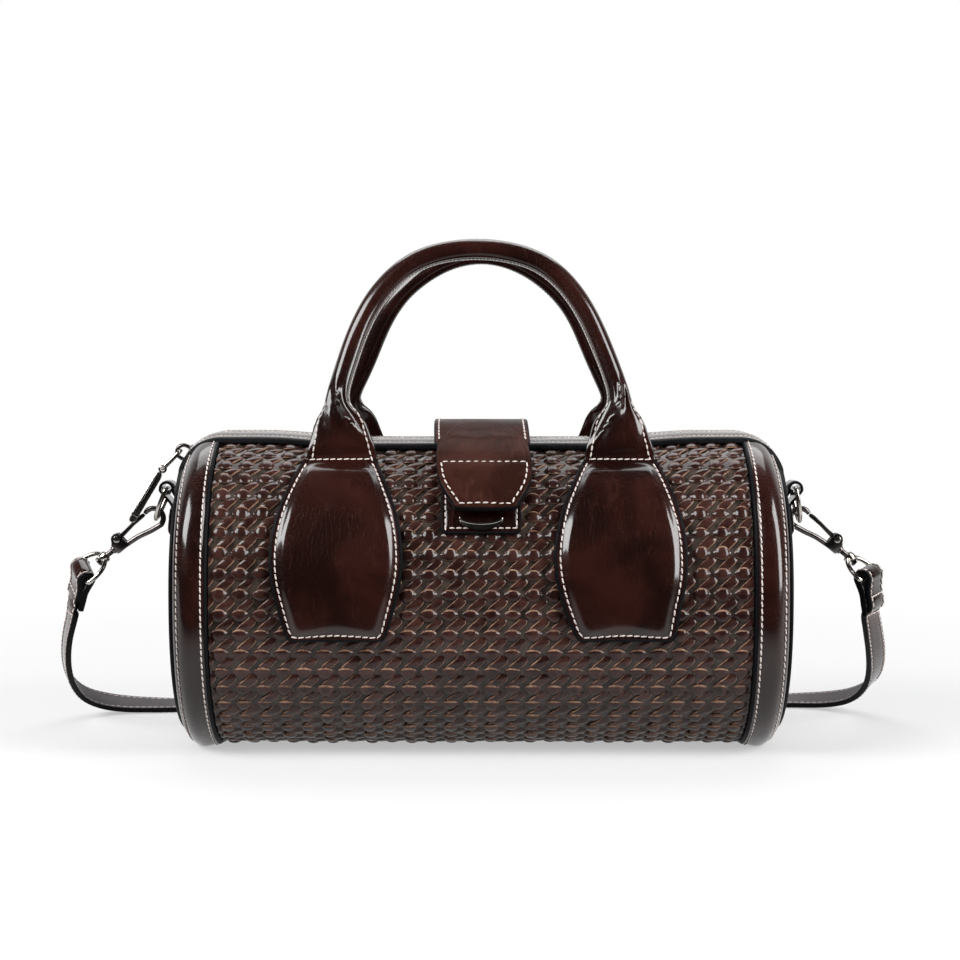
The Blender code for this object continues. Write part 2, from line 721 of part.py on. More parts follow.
def make_zip_slider():
    """Slider at rest over the left shoulder, with the bail that carries the pull."""
    angle = math.radians(SLIDER_REST_ANGLE)
    outward = Vector((-math.sin(angle), 0.0, math.cos(angle)))
    along = Vector((math.cos(angle), 0.0, math.sin(angle)))
    centre = Vector((-WOVEN_HALF_LENGTH, 0.0, ARC_CENTRE_Z))
    seat = centre + TOP_SHOULDER_RADIUS * outward
    matrix = frame_at(seat, along, (0.0, 1.0, 0.0))
    inner = TEETH_HALF_WIDTH + RUNNING_GAP
    outer = inner + SLIDER_FLANGE
    under = GAP + TEETH_THICKNESS + RUNNING_GAP
    top = under + SLIDER_PLATE
    outline = [(-outer, RUNNING_GAP), (-inner, RUNNING_GAP), (-inner, under), (inner, under),
               (inner, RUNNING_GAP), (outer, RUNNING_GAP), (outer, top), (-outer, top)]
    mesh = plate_mesh("zip_slider", [outline], SLIDER_LENGTH)
    mesh.transform(matrix)
    slider = add_object("zip_slider", mesh, DARK_NICKEL)
    bend = top + BAIL_LEG
    bail = [(0.0, under + 0.5 * SLIDER_PLATE, -BAIL_RADIUS)]
    bail = bail + [(0.0, bend + BAIL_RADIUS * math.sin(math.pi * step / 8.0),
                    -BAIL_RADIUS * math.cos(math.pi * step / 8.0)) for step in range(9)]
    bail.append((0.0, under + 0.5 * SLIDER_PLATE, BAIL_RADIUS))
    combine(slider, wire_mesh("bail", bail, BAIL_WIRE, resolution=1), matrix, "UNION")
    apply_modifiers(slider)
    slider.data.materials.clear()
    slider.data.materials.append(material(DARK_NICKEL))
    set_origin(slider, centre)
    hang = seat + outward * (bend + BAIL_RADIUS - BAIL_WIRE - LINK_WIRE - GAP)
    make_zip_pull(hang)


def make_zip_pull(hang):
    """A chain link through the bail and the long bar that hangs from it."""
    lean = math.radians(LINK_LEAN)
    down = Vector((-math.sin(lean), 0.0, -math.cos(lean)))
    bend = 0.5 * LINK_WIDTH - LINK_WIRE
    straight = LINK_LENGTH - 2.0 * bend
    points = []
    for step in range(8):
        turn = math.pi * step / 7.0
        points.append(hang + down * (bend - bend * math.sin(turn)) + Vector((0.0, -bend * math.cos(turn), 0.0)))
    for step in range(8):
        turn = math.pi * step / 7.0
        points.append(hang + down * (bend + straight + bend * math.sin(turn))
                      + Vector((0.0, bend * math.cos(turn), 0.0)))
    link = wire("zip_pull_link", points, LINK_WIRE, NICKEL, cyclic=True, resolution=1)
    set_origin(link, hang)

    eye = hang + down * LINK_LENGTH
    hole = LINK_WIRE + RUNNING_GAP
    half = 0.5 * BAR_WIDTH
    circle = [(hole * math.cos(2.0 * math.pi * step / 12.0), hole * math.sin(2.0 * math.pi * step / 12.0))
              for step in range(12)]
    crown = [(BAR_EYE * math.cos(math.radians(angle)), BAR_EYE * math.sin(math.radians(angle)))
             for angle in range(-40, 221, 26)]
    foot = BAR_EYE - BAR_LENGTH
    tip = [(half * math.cos(math.radians(angle)), foot + half + half * math.sin(math.radians(angle)))
           for angle in range(180, 361, 30)]
    neck = 0.6 * half
    outline = crown + [(-neck, -BAR_EYE - 1.5), (-half, -BAR_EYE - 5.0)] + tip
    outline = outline + [(half, -BAR_EYE - 5.0), (neck, -BAR_EYE - 1.5)]
    lean = math.radians(BAR_LEAN)
    up = Vector((math.sin(lean), math.sin(math.radians(BAR_TILT)), math.cos(lean))).normalized()
    bar = add_object("zip_pull_bar", plate_mesh("zip_pull_bar", [outline, circle], BAR_THICKNESS), NICKEL)
    bar.data.transform(side_frame(up))
    bar.location = millimetres(eye)


# Handles and their patches
def lift_off_profile(x, z):
    """Depth of the line that a handle's leather follows: along the front, then upward."""
    if z <= LIFT_OFF:
        return front_surface(x, z)
    start = front_surface(x, LIFT_OFF)
    first = (start - front_surface(x, LIFT_OFF - 1.0))
    last = (HANDLE_LEAN_FOOT - HANDLE_LEAN_TOP) / (HANDLE_TOP - HINGE_HEIGHT)
    rise = z - LIFT_OFF
    turn = HINGE_HEIGHT - LIFT_OFF
    if rise <= turn:
        return start + first * rise + 0.5 * (last - first) * rise ** 2 / turn
    return start + 0.5 * (first + last) * turn + last * (rise - turn)


def patch_point(x, z, lift):
    """Point lift outside the line at a place of the front."""
    step = 0.5
    slope = (lift_off_profile(x, z + step) - lift_off_profile(x, z - step)) / (2.0 * step)
    length = math.hypot(1.0, slope)
    return (x, lift_off_profile(x, z) - lift / length, z + lift * slope / length)


def facing(point, side):
    """A point of the front for side 1, mirrored to the back for side -1."""
    return (point[0], side * point[1], point[2])


def patch_levels(count):
    """Heights from bottom to top, closer together where the corners turn."""
    return [PATCH_BOTTOM, PATCH_BOTTOM + 1.6, PATCH_BOTTOM + 5.0] + [
        PATCH_BOTTOM + 5.0 + (PATCH_NECK_TOP - PATCH_BOTTOM - 5.0) * step / count for step in range(1, count + 1)]


def make_patch(name, end, side):
    levels = patch_levels(8)
    centre = end * HANDLE_HALF_SPAN

    def backing_place(u, v):
        z = levels[round(v * (len(levels) - 1))]
        x = centre + side * (u - 0.5) * interpolate(PATCH_WIDTHS, z)
        return facing(patch_point(x, z, 0.0), side)

    backing = grid_mesh(name + "_patch_backing", 4, len(levels) - 1, backing_place)
    solidify(add_object(name + "_patch_backing", backing, EDGE), PATCH_BACKING, 1.0)

    front_sides = 7
    sides = front_sides + 3

    def pad_place(step, index):
        z = levels[step]
        half = 0.5 * interpolate(PATCH_WIDTHS, z)
        base = PATCH_BACKING + GAP
        if index >= front_sides:
            across = 1.0 - 2.0 * (index - front_sides + 1) / (sides - front_sides + 1)
            return facing(patch_point(centre + across * half, z, base), side)
        across = 2.0 * index / (front_sides - 1) - 1.0
        upward = (2.0 * (z - PATCH_BOTTOM) / (PATCH_TOP - PATCH_BOTTOM)) - 1.0
        swell = (1.0 - across ** 4) * max(0.0, 1.0 - upward ** 6)
        lift = base + PAD_RIM + (PATCH_PAD - PAD_RIM) * swell
        return facing(patch_point(centre + across * half, z, lift), side)

    closed_loft(name + "_patch", len(levels), pad_place, sides, LEATHER)


def handle_route(steps):
    """Centreline of the front handle's round part, from the left neck over to the right one."""
    half = [(share_x * HANDLE_HALF_SPAN, HINGE_HEIGHT + share_z * (HANDLE_TOP - HINGE_HEIGHT))
            for share_x, share_z in HANDLE_SHAPE]
    line = [(-x, z) for x, z in reversed(half[1:])] + half
    return smooth_route([(x, handle_depth(z), z) for x, z in line], steps)


def handle_depth(z):
    """Depth of the handle's middle: it leans towards the zip as it rises."""
    foot = lift_off_profile(HANDLE_HALF_SPAN, HINGE_HEIGHT) - PATCH_BACKING - GAP - 0.5 * NECK_THICKNESS_FOOT
    share = (z - HINGE_HEIGHT) / (HANDLE_TOP - HINGE_HEIGHT)
    return foot + (-HANDLE_LEAN_TOP - foot) * share


def ring_along(route, step, angle, radius):
    """Point on a round section of a route."""
    before = route[max(step - 1, 0)]
    after = route[min(step + 1, len(route) - 1)]
    along = (after - before).normalized()
    lean = Vector((0.0, 1.0, 0.0)).cross(along).normalized()
    depth = along.cross(lean)
    return route[step] + radius * (math.cos(angle) * lean + math.sin(angle) * depth)


def make_handle(name, side):
    front_route = handle_route(2)
    route = [Vector(facing(point, side)) for point in front_route]
    sides = 10

    def place(u, v):
        return ring_along(route, round(u * (len(route) - 1)), 2.0 * math.pi * v, 0.5 * TUBE_DIAMETER)

    cover = sheet(name + "_handle_cover", len(route) - 1, sides, place, TUBE_WALL, LEATHER, offset=1.0)
    hinge = handle_hinge(side)
    apply_modifiers(cover)
    set_origin(cover, hinge)
    core = wire(name + "_handle_core", route[1:-1], 0.5 * TUBE_DIAMETER - TUBE_WALL - GAP, BOARD, resolution=1)
    set_origin(core, hinge)
    for end_name, end, first, second in (("left", -1.0, 0, 1), ("right", 1.0, -1, -2)):
        upward = (front_route[second] - front_route[first]).normalized()
        neck = make_neck(f"{name}_{end_name}_neck", end, side, front_route[first] - upward * GAP, upward)
        set_origin(neck, hinge)


def handle_hinge(side):
    """A point on the handle's hinge line, at the front face of the neck."""
    y = handle_depth(HINGE_HEIGHT) - 0.5 * NECK_THICKNESS_FOOT
    return facing((0.0, y, HINGE_HEIGHT), side)


def make_neck(name, end, side, top, upward):
    """Flat folded leather at the patch that gathers into the round handle."""
    levels = 7
    sides = 12
    foot = Vector((end * HANDLE_HALF_SPAN, handle_depth(HINGE_HEIGHT), HINGE_HEIGHT + GAP))
    middle = top - upward * 0.5 * (top.z - foot.z)

    def place(step, index):
        share = step / (levels - 1)
        centre = (1.0 - share) ** 2 * foot + 2.0 * share * (1.0 - share) * middle + share ** 2 * top
        along = Vector((0.0, 0.0, 1.0)).lerp(upward, share).normalized()
        across = Vector((0.0, 1.0, 0.0)).cross(along).normalized()
        depth = along.cross(across)
        width = NECK_WIDTH_FOOT + (NECK_WIDTH_TOP - NECK_WIDTH_FOOT) * min(1.0, 1.15 * share ** 0.7)
        width = width + (TUBE_DIAMETER - NECK_WIDTH_TOP) * smoothstep(0.6, 1.0, share)
        thick = NECK_THICKNESS_FOOT + (TUBE_DIAMETER - NECK_THICKNESS_FOOT) * smoothstep(0.0, 1.0, share)
        power = 2.0 / (4.0 - 2.0 * share)
        cosine = math.cos(2.0 * math.pi * index / sides)
        sine = math.sin(2.0 * math.pi * index / sides)
        out = 0.5 * math.copysign(abs(cosine) ** power, cosine)
        back = 0.5 * math.copysign(abs(sine) ** power, sine)
        point = centre + across * out * width + depth * back * thick
        point.z += NECK_RELIEF * (1.0 - share) * (0.5 + back)
        return facing(point, side)

    return closed_loft(name, levels, place, sides, LEATHER)


# Flap and catch
def flap_lift(angle):
    """Height of the flap strap's inner face over the leather, by section angle from the back."""
    if angle < ANCHOR_RISE_ANGLE:
        return 0.0
    if angle < FLAP_HINGE_ANGLE:
        return FLAP_RISE * smoothstep(ANCHOR_RISE_ANGLE, FLAP_HINGE_ANGLE, angle)
    return FLAP_RISE + (FLAP_FRONT_LIFT - FLAP_RISE) * smoothstep(FLAP_HINGE_ANGLE, FLAP_RAISED_ANGLE, angle)


def flap_point(x, angle, extra):
    return section_point(x, angle, -(flap_lift(angle) + extra))


def flap_width(angle):
    """Width of the flap towards its tip."""
    if angle <= TAPER_ANGLE:
        return FACING_WIDTH
    share = (angle - TAPER_ANGLE) / (FLAP_TIP_ANGLE - TAPER_ANGLE)
    return FACING_WIDTH - (FACING_WIDTH - FACING_TIP_WIDTH) * share ** 1.25


def facing_width(angle):
    """Width of the facing: an arched top that opens to the full width, then the taper."""
    if angle < ARCH_FOOT_ANGLE:
        share = (ARCH_FOOT_ANGLE - angle) / (ARCH_FOOT_ANGLE - ARCH_APEX_ANGLE)
        return ARCH_APEX_WIDTH + (FACING_WIDTH - ARCH_APEX_WIDTH) * math.sqrt(max(0.0, 1.0 - share ** 1.8))
    return flap_width(angle)


def spread(first, last, count):
    return [first + (last - first) * step / count for step in range(count + 1)]


def flap_hinge():
    return flap_point(0.0, FLAP_HINGE_ANGLE, FLAP_THICKNESS)


def make_flap():
    gap_angle = math.degrees(GAP / HALF_DEPTH)
    anchor = spread(FLAP_HINGE_ANGLE - gap_angle, ANCHOR_FOOT_ANGLE, 5)
    strap = spread(FLAP_TIP_ANGLE - 2.5, FLAP_HINGE_ANGLE, 12)
    facing_rows = spread(FLAP_TIP_ANGLE, ARCH_FOOT_ANGLE, 6)[:-1]
    facing_rows = facing_rows + [ARCH_FOOT_ANGLE - (ARCH_FOOT_ANGLE - ARCH_APEX_ANGLE)
                                 * math.sin(math.radians(18.0 * step)) for step in range(6)]

    def anchor_place(u, v):
        angle = anchor[round(v * (len(anchor) - 1))]
        return flap_point((u - 0.5) * FLAP_WIDTH, angle, 0.0)

    def strap_place(u, v):
        angle = strap[round(v * (len(strap) - 1))]
        return flap_point((u - 0.5) * min(FLAP_WIDTH, flap_width(angle) - 1.0), angle, 0.0)

    def facing_place(u, v):
        angle = facing_rows[round(v * (len(facing_rows) - 1))]
        return flap_point((u - 0.5) * facing_width(angle), angle, FLAP_THICKNESS + GAP)

    sheet("flap_anchor", 2, len(anchor) - 1, anchor_place, FLAP_THICKNESS, LEATHER, offset=1.0)
    flap = sheet("flap_strap", 2, len(strap) - 1, strap_place, FLAP_THICKNESS, LEATHER, offset=1.0)
    facing_piece = sheet("flap_facing", 4, len(facing_rows) - 1, facing_place, FACING_THICKNESS, LEATHER,
                         offset=1.0)
    for item in (flap, facing_piece):
        apply_modifiers(item)
        set_origin(item, flap_hinge())
    make_magnets()


def front_normal(z):
    low = Vector(patch_point(0.0, z, 0.0))
    high = Vector(patch_point(0.0, z, 1.0))
    return (high - low).normalized()


def make_magnets():
    """The two halves of the hidden snap, one behind the other under the flap."""
    outward = front_normal(CATCH_MAGNET_HEIGHT)
    base = Vector(patch_point(0.0, CATCH_MAGNET_HEIGHT, 0.0))
    seat = CATCH_THICKNESS + GAP + 0.5 * CATCH_MAGNET_THICKNESS
    matrix = frame_at(base + outward * seat, outward, (1.0, 0.0, 0.0))
    lower = cylinder_mesh("catch_magnet", CATCH_MAGNET_RADIUS, CATCH_MAGNET_THICKNESS, 16)
    lower.transform(matrix)
    add_object("catch_magnet", lower, NICKEL)
    seat = CATCH_THICKNESS + 2.0 * GAP + CATCH_MAGNET_THICKNESS + 0.5 * FLAP_MAGNET_THICKNESS
    matrix = frame_at(base + outward * seat, outward, (1.0, 0.0, 0.0))
    upper = cylinder_mesh("flap_magnet", FLAP_MAGNET_RADIUS, FLAP_MAGNET_THICKNESS, 16)
    upper.transform(matrix)
    set_origin(add_object("flap_magnet", upper, NICKEL), flap_hinge())


def make_catch():
    corner = ((CATCH_BOTTOM, CATCH_WIDTH - 4.0), (CATCH_BOTTOM + 2.2, CATCH_WIDTH), (CATCH_TOP, CATCH_WIDTH))
    rows = [CATCH_BOTTOM] + spread(CATCH_BOTTOM + 2.2, CATCH_TOP, 5)

    def place(u, v):
        z = rows[round(v * (len(rows) - 1))]
        return patch_point((u - 0.5) * interpolate(corner, z), z, 0.0)

    sheet("catch_patch", 2, len(rows) - 1, place, CATCH_THICKNESS, LEATHER, offset=1.0)
    half = 0.5 * KEEPER_WIDTH
    low = [(half * math.cos(math.radians(angle)), KEEPER_HEIGHT * math.sin(math.radians(angle)))
           for angle in range(180, 361, 18)]
    high = [(half * math.cos(math.radians(angle)), -1.6 * math.sin(math.radians(angle)))
            for angle in range(30, 151, 30)]
    middle = KEEPER_BOTTOM + 0.5 * KEEPER_HEIGHT
    outward = front_normal(middle)
    seat = CATCH_THICKNESS + GAP + 0.5 * KEEPER_THICKNESS
    upward = outward.cross(Vector((1.0, 0.0, 0.0)))
    if upward.z < 0.0:
        upward = -upward
    point = Vector(patch_point(0.0, middle, 0.0)) + outward * seat + upward * 0.5 * KEEPER_HEIGHT
    turn = Matrix((Vector((1.0, 0.0, 0.0)), upward, Vector((1.0, 0.0, 0.0)).cross(upward))).transposed()
    mesh = plate_mesh("catch_keeper", [low + high], KEEPER_THICKNESS)
    mesh.transform(Matrix.Translation(millimetres(point)) @ turn.to_4x4())
    add_object("catch_keeper", mesh, DARK_NICKEL)


# Ends: tabs, D-rings, trigger hooks and swivel rings
def make_tab(name, side):
    """Leather folded round the D-ring's bar and sewn flat on the domed end."""
    layer = 0.5 * TAB_THICKNESS

    def skin(z, out):
        return (dome_x(0.0, z) + GAP + out, z)

    loop = [(TAB_HINGE_X + TAB_LOOP_RADIUS * math.cos(math.radians(angle)),
             TAB_HINGE_Z + TAB_LOOP_RADIUS * math.sin(math.radians(angle))) for angle in range(-35, 206, 24)]
    hole = [(TAB_HINGE_X + TAB_HOLE_RADIUS * math.cos(math.radians(angle)),
             TAB_HINGE_Z + TAB_HOLE_RADIUS * math.sin(math.radians(angle))) for angle in range(0, 360, 36)]
    root = TAB_HINGE_Z - TAB_LOOP_DROP
    middle = 0.5 * (root + TAB_BODY_FOOT)
    outline = [skin(TAB_TAIL_FOOT, 0.0), skin(TAB_TAIL_FOOT, layer), skin(TAB_BODY_FOOT, layer),
               skin(TAB_BODY_FOOT, TAB_THICKNESS), skin(middle, TAB_THICKNESS), skin(root, TAB_THICKNESS)]
    outline = outline + loop + [skin(root, 0.0), skin(middle, 0.0), skin(TAB_BODY_FOOT, 0.0)]
    outlines = [[(side * x, z) for x, z in ring] for ring in (outline, hole)]
    mesh = plate_mesh(name + "_dring_tab", outlines, TAB_WIDTH)
    mesh.transform(side_frame(Vector((0.0, 0.0, 1.0))))
    add_object(name + "_dring_tab", mesh, LEATHER)


def tab_hinge(side):
    return Vector((side * TAB_HINGE_X, 0.0, TAB_HINGE_Z))


def ring_down(side, lean):
    return Vector((side * math.sin(math.radians(lean)), 0.0, -math.cos(math.radians(lean))))


def d_shape(centre, across, away, half_width, reach, steps):
    """A straight bar through centre along across, and a round side that reaches away from it."""
    points = []
    for step in range(steps + 1):
        turn = math.pi * step / steps
        points.append(centre + across * half_width * math.cos(turn) + away * reach * math.sin(turn) ** 0.85)
    return points


def make_dring(name, side, lean):
    hinge = tab_hinge(side)
    points = d_shape(hinge, Vector((0.0, 1.0, 0.0)), ring_down(side, lean), DRING_HALF_WIDTH, DRING_DROP, 14)
    ring = wire(name + "_dring", points, RING_WIRE, NICKEL, cyclic=True, resolution=1)
    set_origin(ring, hinge)


def hook_frame(side, lean, claw_offset):
    """Hook's own frame: X from the claw to the swivel, Y towards the gate, origin in the claw."""
    angle = math.radians(HOOK_ANGLE)
    along = Vector((side * math.cos(angle), 0.0, -math.sin(angle)))
    outward = Vector((side * math.sin(angle), 0.0, math.cos(angle)))
    claw = tab_hinge(side) + ring_down(side, lean) * DRING_DROP + Vector(claw_offset)
    turn = Matrix((along, outward, along.cross(outward))).transposed()
    return Matrix.Translation(millimetres(claw)) @ turn.to_4x4()


def make_hook(name, frame):
    arc = [(CLAW_RADIUS * math.cos(math.radians(angle)), CLAW_RADIUS * math.sin(math.radians(angle)), 0.0)
           for angle in range(70, 271, 25)]
    spine = arc + [(0.3 * KNUCKLE_START, 0.3 * SPINE_FOOT - 0.7 * CLAW_RADIUS, 0.0),
                   (KNUCKLE_START, SPINE_FOOT, 0.0), (KNUCKLE_START + 2.0, SPINE_FOOT, 0.0)]
    body = add_object(name + "_hook_body", wire_mesh("spine", spine, HOOK_WIRE), NICKEL)
    length = KNUCKLE_END - KNUCKLE_START
    low = SPINE_FOOT - HOOK_WIRE
    high = PIVOT_OUT + PIN_RADIUS + GAP + KNUCKLE_WALL
    knuckle = block_mesh("knuckle", (length, high - low, 2.0 * KNUCKLE_HALF_WIDTH))
    combine(body, knuckle, Matrix.Translation(millimetres((KNUCKLE_START + 0.5 * length, 0.5 * (low + high), 0.0))),
            "UNION")
    lengthwise = Matrix.Rotation(math.radians(90.0), 4, "Y")
    stem_end = HOOK_LENGTH + 0.5 * BOSS_LENGTH + HEAD_CLEARANCE
    stem_length = stem_end - KNUCKLE_END + 1.0
    stem = cylinder_mesh("stem", STEM_RADIUS, stem_length, 12)
    place = Matrix.Translation(millimetres((stem_end - 0.5 * stem_length, 0.0, 0.0))) @ lengthwise
    combine(body, stem, place, "UNION")
    head = cylinder_mesh("stem_head", STEM_RADIUS + KNUCKLE_WALL, HEAD_LENGTH, 12)
    place = Matrix.Translation(millimetres((stem_end + 0.5 * HEAD_LENGTH - 0.1, 0.0, 0.0))) @ lengthwise
    combine(body, head, place, "UNION")
    slot = block_mesh("gate_slot", (length + 2.0, 8.0, 2.0 * GATE_HALF_WIDTH + 2.0 * GAP))
    slot_y = PIVOT_OUT - EYE_RADIUS - GAP + 4.0
    combine(body, slot, Matrix.Translation(millimetres((KNUCKLE_START - 1.0 + 0.5 * length - 1.0, slot_y, 0.0))),
            "DIFFERENCE")
    pivot = (PIVOT_ALONG, PIVOT_OUT, 0.0)
    hole = cylinder_mesh("pin_hole", PIN_RADIUS + GAP, 4.0 * KNUCKLE_HALF_WIDTH, 12)
    combine(body, hole, Matrix.Translation(millimetres(pivot)), "DIFFERENCE")
    apply_modifiers(body)
    body.data.transform(frame)
    body.data.materials.clear()
    body.data.materials.append(material(NICKEL))
    stem_point = frame @ millimetres((HOOK_LENGTH, 0.0, 0.0)) / MM
    set_origin(body, stem_point)

    pin = cylinder_mesh(name + "_hook_pin", PIN_RADIUS, 2.0 * KNUCKLE_HALF_WIDTH, 12)
    pin.transform(frame @ Matrix.Translation(millimetres(pivot)))
    set_origin(add_object(name + "_hook_pin", pin, NICKEL), stem_point)

    make_gate(name, frame, Vector(pivot))


def make_gate(name, frame, pivot):
    """The sprung bar that closes the claw, with its eye round the pin."""
    nose = Vector((CLAW_RADIUS * math.cos(math.radians(70.0)), CLAW_RADIUS * math.sin(math.radians(70.0)), 0.0))
    tip = nose + Vector((0.35 + GAP, -0.3, 0.0))
    half = GATE_HALF_THICKNESS
    eye = [(pivot.x + EYE_RADIUS * math.cos(math.radians(angle)),
            pivot.y + EYE_RADIUS * math.sin(math.radians(angle))) for angle in range(-140, 141, 28)]
    hole = [(pivot.x + (PIN_RADIUS + GAP) * math.cos(math.radians(angle)),
             pivot.y + (PIN_RADIUS + GAP) * math.sin(math.radians(angle))) for angle in range(0, 360, 45)]
    outline = eye + [(tip.x, tip.y + half), (tip.x, tip.y - half)]
    gate = add_object(name + "_hook_gate", plate_mesh("gate", [outline, hole], 2.0 * GATE_HALF_WIDTH), NICKEL)
    gate.data.transform(frame)
    set_origin(gate, frame @ millimetres(pivot) / MM)


def swivel_bar(frame, across, rough_away):
    """Middle of the swivel ring's straight bar and the direction from it to the boss."""
    boss = frame @ millimetres((HOOK_LENGTH, 0.0, 0.0)) / MM
    across = Vector(across).normalized()
    away = Vector(rough_away)
    away = (away - across * away.dot(across)).normalized()
    return boss, boss - away * SWIVEL_REACH, across, away


def make_swivel_ring(name, frame, across, rough_away):
    boss_point, bar, across, away = swivel_bar(frame, across, rough_away)
    points = d_shape(bar, across, away, SWIVEL_HALF_WIDTH, SWIVEL_REACH, 16)
    ring = wire(name + "_swivel_ring", points, RING_WIRE, NICKEL, cyclic=True, resolution=1)
    along = frame.to_3x3() @ Vector((1.0, 0.0, 0.0))
    place = frame_at(boss_point, along, (0.0, 1.0, 0.0))
    combine(ring, cylinder_mesh("boss", BOSS_RADIUS, BOSS_LENGTH, 14), place, "UNION")
    combine(ring, cylinder_mesh("bore", STEM_RADIUS + GAP, 3.0 * BOSS_LENGTH, 12), place, "DIFFERENCE")
    apply_modifiers(ring)
    ring.data.materials.clear()
    ring.data.materials.append(material(NICKEL))


# Shoulder strap: its route is chosen by hand, as the near edge and the direction across
STRAP_ROUTE = (
    ((-203.5, -7.0, 62.0), (-0.43, 0.89, 0.10)),
    ((-208.3, 1.0, 49.0), (-0.40, 0.915, 0.03)),
    ((-212.0, 13.0, 35.5), (-0.36, 0.93, 0.00)),
    ((-213.6, 27.0, 22.5), (-0.30, 0.94, 0.08)),
    ((-211.5, 41.0, 11.5), (-0.15, 0.96, 0.20)),
    ((-204.5, 50.5, 5.0), (0.05, 0.96, 0.27)),
    ((-193.0, 55.5, 2.2), (0.10, 0.95, 0.27)),
    ((-178.0, 57.5, 1.6), (0.02, 0.97, 0.22)),
    ((-158.0, 60.0, 1.6), (-0.05, 0.98, 0.15)),
    ((-130.0, 65.0, 1.6), (-0.03, 0.99, 0.08)),
    ((-80.0, 70.0, 1.6), (0.0, 1.0, 0.0)),
    ((0.0, 72.0, 1.6), (0.0, 1.0, 0.0)),
    ((80.0, 72.0, 1.6), (0.0, 1.0, 0.0)),
    ((130.0, 73.0, 1.6), (0.0, 1.0, 0.05)),
    ((153.0, 73.5, 1.6), (0.0, 0.98, 0.12)),
    ((171.0, 72.0, 1.6), (0.02, 0.97, 0.20)),
    ((186.5, 67.0, 2.4), (0.10, 0.95, 0.27)),
    ((197.5, 57.5, 6.2), (0.30, 0.91, 0.28)),
    ((202.6, 45.5, 14.0), (0.50, 0.82, 0.25)),
    ((202.8, 31.0, 25.0), (0.64, 0.74, 0.17)),
    ((199.2, 15.0, 39.5), (0.70, 0.69, 0.10)),
    ((195.0, 2.5, 52.5), (0.68, 0.70, 0.10)),
    ((192.2, -6.0, 62.5), (0.64, 0.75, 0.13)),
)
ROUTE_BAND_END = 145.0
LEFT_FOLD_ACROSS = (-0.46, 0.87, 0.15)
RIGHT_FOLD_ACROSS = (0.60, 0.78, 0.15)
LEFT_FOLD_AWAY = (0.85, 0.0, 0.53)
RIGHT_FOLD_AWAY = (-0.85, 0.0, 0.53)
FOLD_LEAN = 0.10


def fold_points(side, bar, across):
    """Near-edge points from the tail, over the ring's bar, to where the two layers part."""
    edge = bar - across * 0.5 * STRAP_WIDTH
    up = (Vector((0.0, 0.0, 1.0)) - across * across.z).normalized()
    out = across.cross(up).normalized()
    if out.x * side < 0.0:
        out = -out
    down = (out * FOLD_LEAN - up).normalized()
    half_pair = 0.5 * (STRAP_THICKNESS + RUNNING_GAP)
    meet = LOOP_RADIUS + STRAP_THICKNESS * 1.6
    tail = [edge + down * length - out * half_pair for length in (TAIL_LENGTH, 0.5 * (TAIL_LENGTH + meet), meet)]
    loop = [edge + LOOP_RADIUS * (math.cos(math.radians(angle)) * out + math.sin(math.radians(angle)) * up)
            for angle in range(205, -26, -23)]
    main = [edge + down * meet + out * half_pair, edge + down * (TAIL_LENGTH - 4.0) + out * half_pair]
    return tail + loop + main


def routed(point):
    """A point of the strap's route, moved along with the end of the bag that it lies by."""
    x, y, z = point
    shift = (BAND_END - ROUTE_BAND_END) * min(1.0, abs(x) / ROUTE_BAND_END)
    return (x + math.copysign(shift, x), y, z)


def make_strap(left_bar, right_bar):
    left_across = Vector(LEFT_FOLD_ACROSS).normalized()
    right_across = Vector(RIGHT_FOLD_ACROSS).normalized()
    left = [(point, left_across) for point in fold_points(-1.0, left_bar, left_across)]
    right = [(point, right_across) for point in fold_points(1.0, right_bar, right_across)]
    middle_edge = smooth_route([left[-1][0]] + [routed(row[0]) for row in STRAP_ROUTE] + [right[-1][0]], 2)
    middle_across = smooth_route([left_across] + [row[1] for row in STRAP_ROUTE] + [right_across], 2)
    middle = list(zip(middle_edge, middle_across))
    stations = left[:-1] + middle + list(reversed(right[:-1]))
    edges = [row[0] for row in stations]
    half = 0.5 * STRAP_THICKNESS

    def place(step, index):
        before = edges[max(step - 1, 0)]
        after = edges[min(step + 1, len(edges) - 1)]
        across = stations[step][1].normalized()
        normal = (after - before).cross(across).normalized()
        corner_across = (0.0, STRAP_WIDTH, STRAP_WIDTH, 0.0)[index]
        corner_out = (-half, -half, half, half)[index]
        return edges[step] + across * corner_across + normal * corner_out

    return closed_loft("shoulder_strap", len(stations), place, 4, STRAP_LEATHER)


def make_hardware():
    bars = []
    for name, side, lean, offset, across, away in (
            ("left", -1.0, LEFT_RING_LEAN, LEFT_CLAW_OFFSET, LEFT_FOLD_ACROSS, LEFT_FOLD_AWAY),
            ("right", 1.0, RIGHT_RING_LEAN, RIGHT_CLAW_OFFSET, RIGHT_FOLD_ACROSS, RIGHT_FOLD_AWAY)):
        make_tab(name, side)
        make_dring(name, side, lean)
        frame = hook_frame(side, lean, offset)
        make_hook(name, frame)
        make_swivel_ring(name, frame, across, away)
        bars.append(swivel_bar(frame, across, away)[1])
    make_strap(*bars)


def main():
    make_barrel()
    make_gusset()
    make_zip()
    make_lining()
    make_zip_slider()
    for row, side in (("front", 1.0), ("back", -1.0)):
        make_patch(row + "_left", -1.0, side)
        make_patch(row + "_right", 1.0, side)
        make_handle(row, side)
    make_catch()
    make_flap()
    make_hardware()


main()
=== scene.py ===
"""Bowling bag of woven and glazed leather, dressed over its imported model.

Laid out as an add-on and run as a script. Everything is in metres, in the model's own frame:
X along the barrel, the front faces -Y, Z up, the floor at 0.
"""
import json
import math

import bmesh
import bpy
from bpy.props import FloatProperty, FloatVectorProperty, IntProperty, PointerProperty
from mathutils import Matrix, Vector, noise


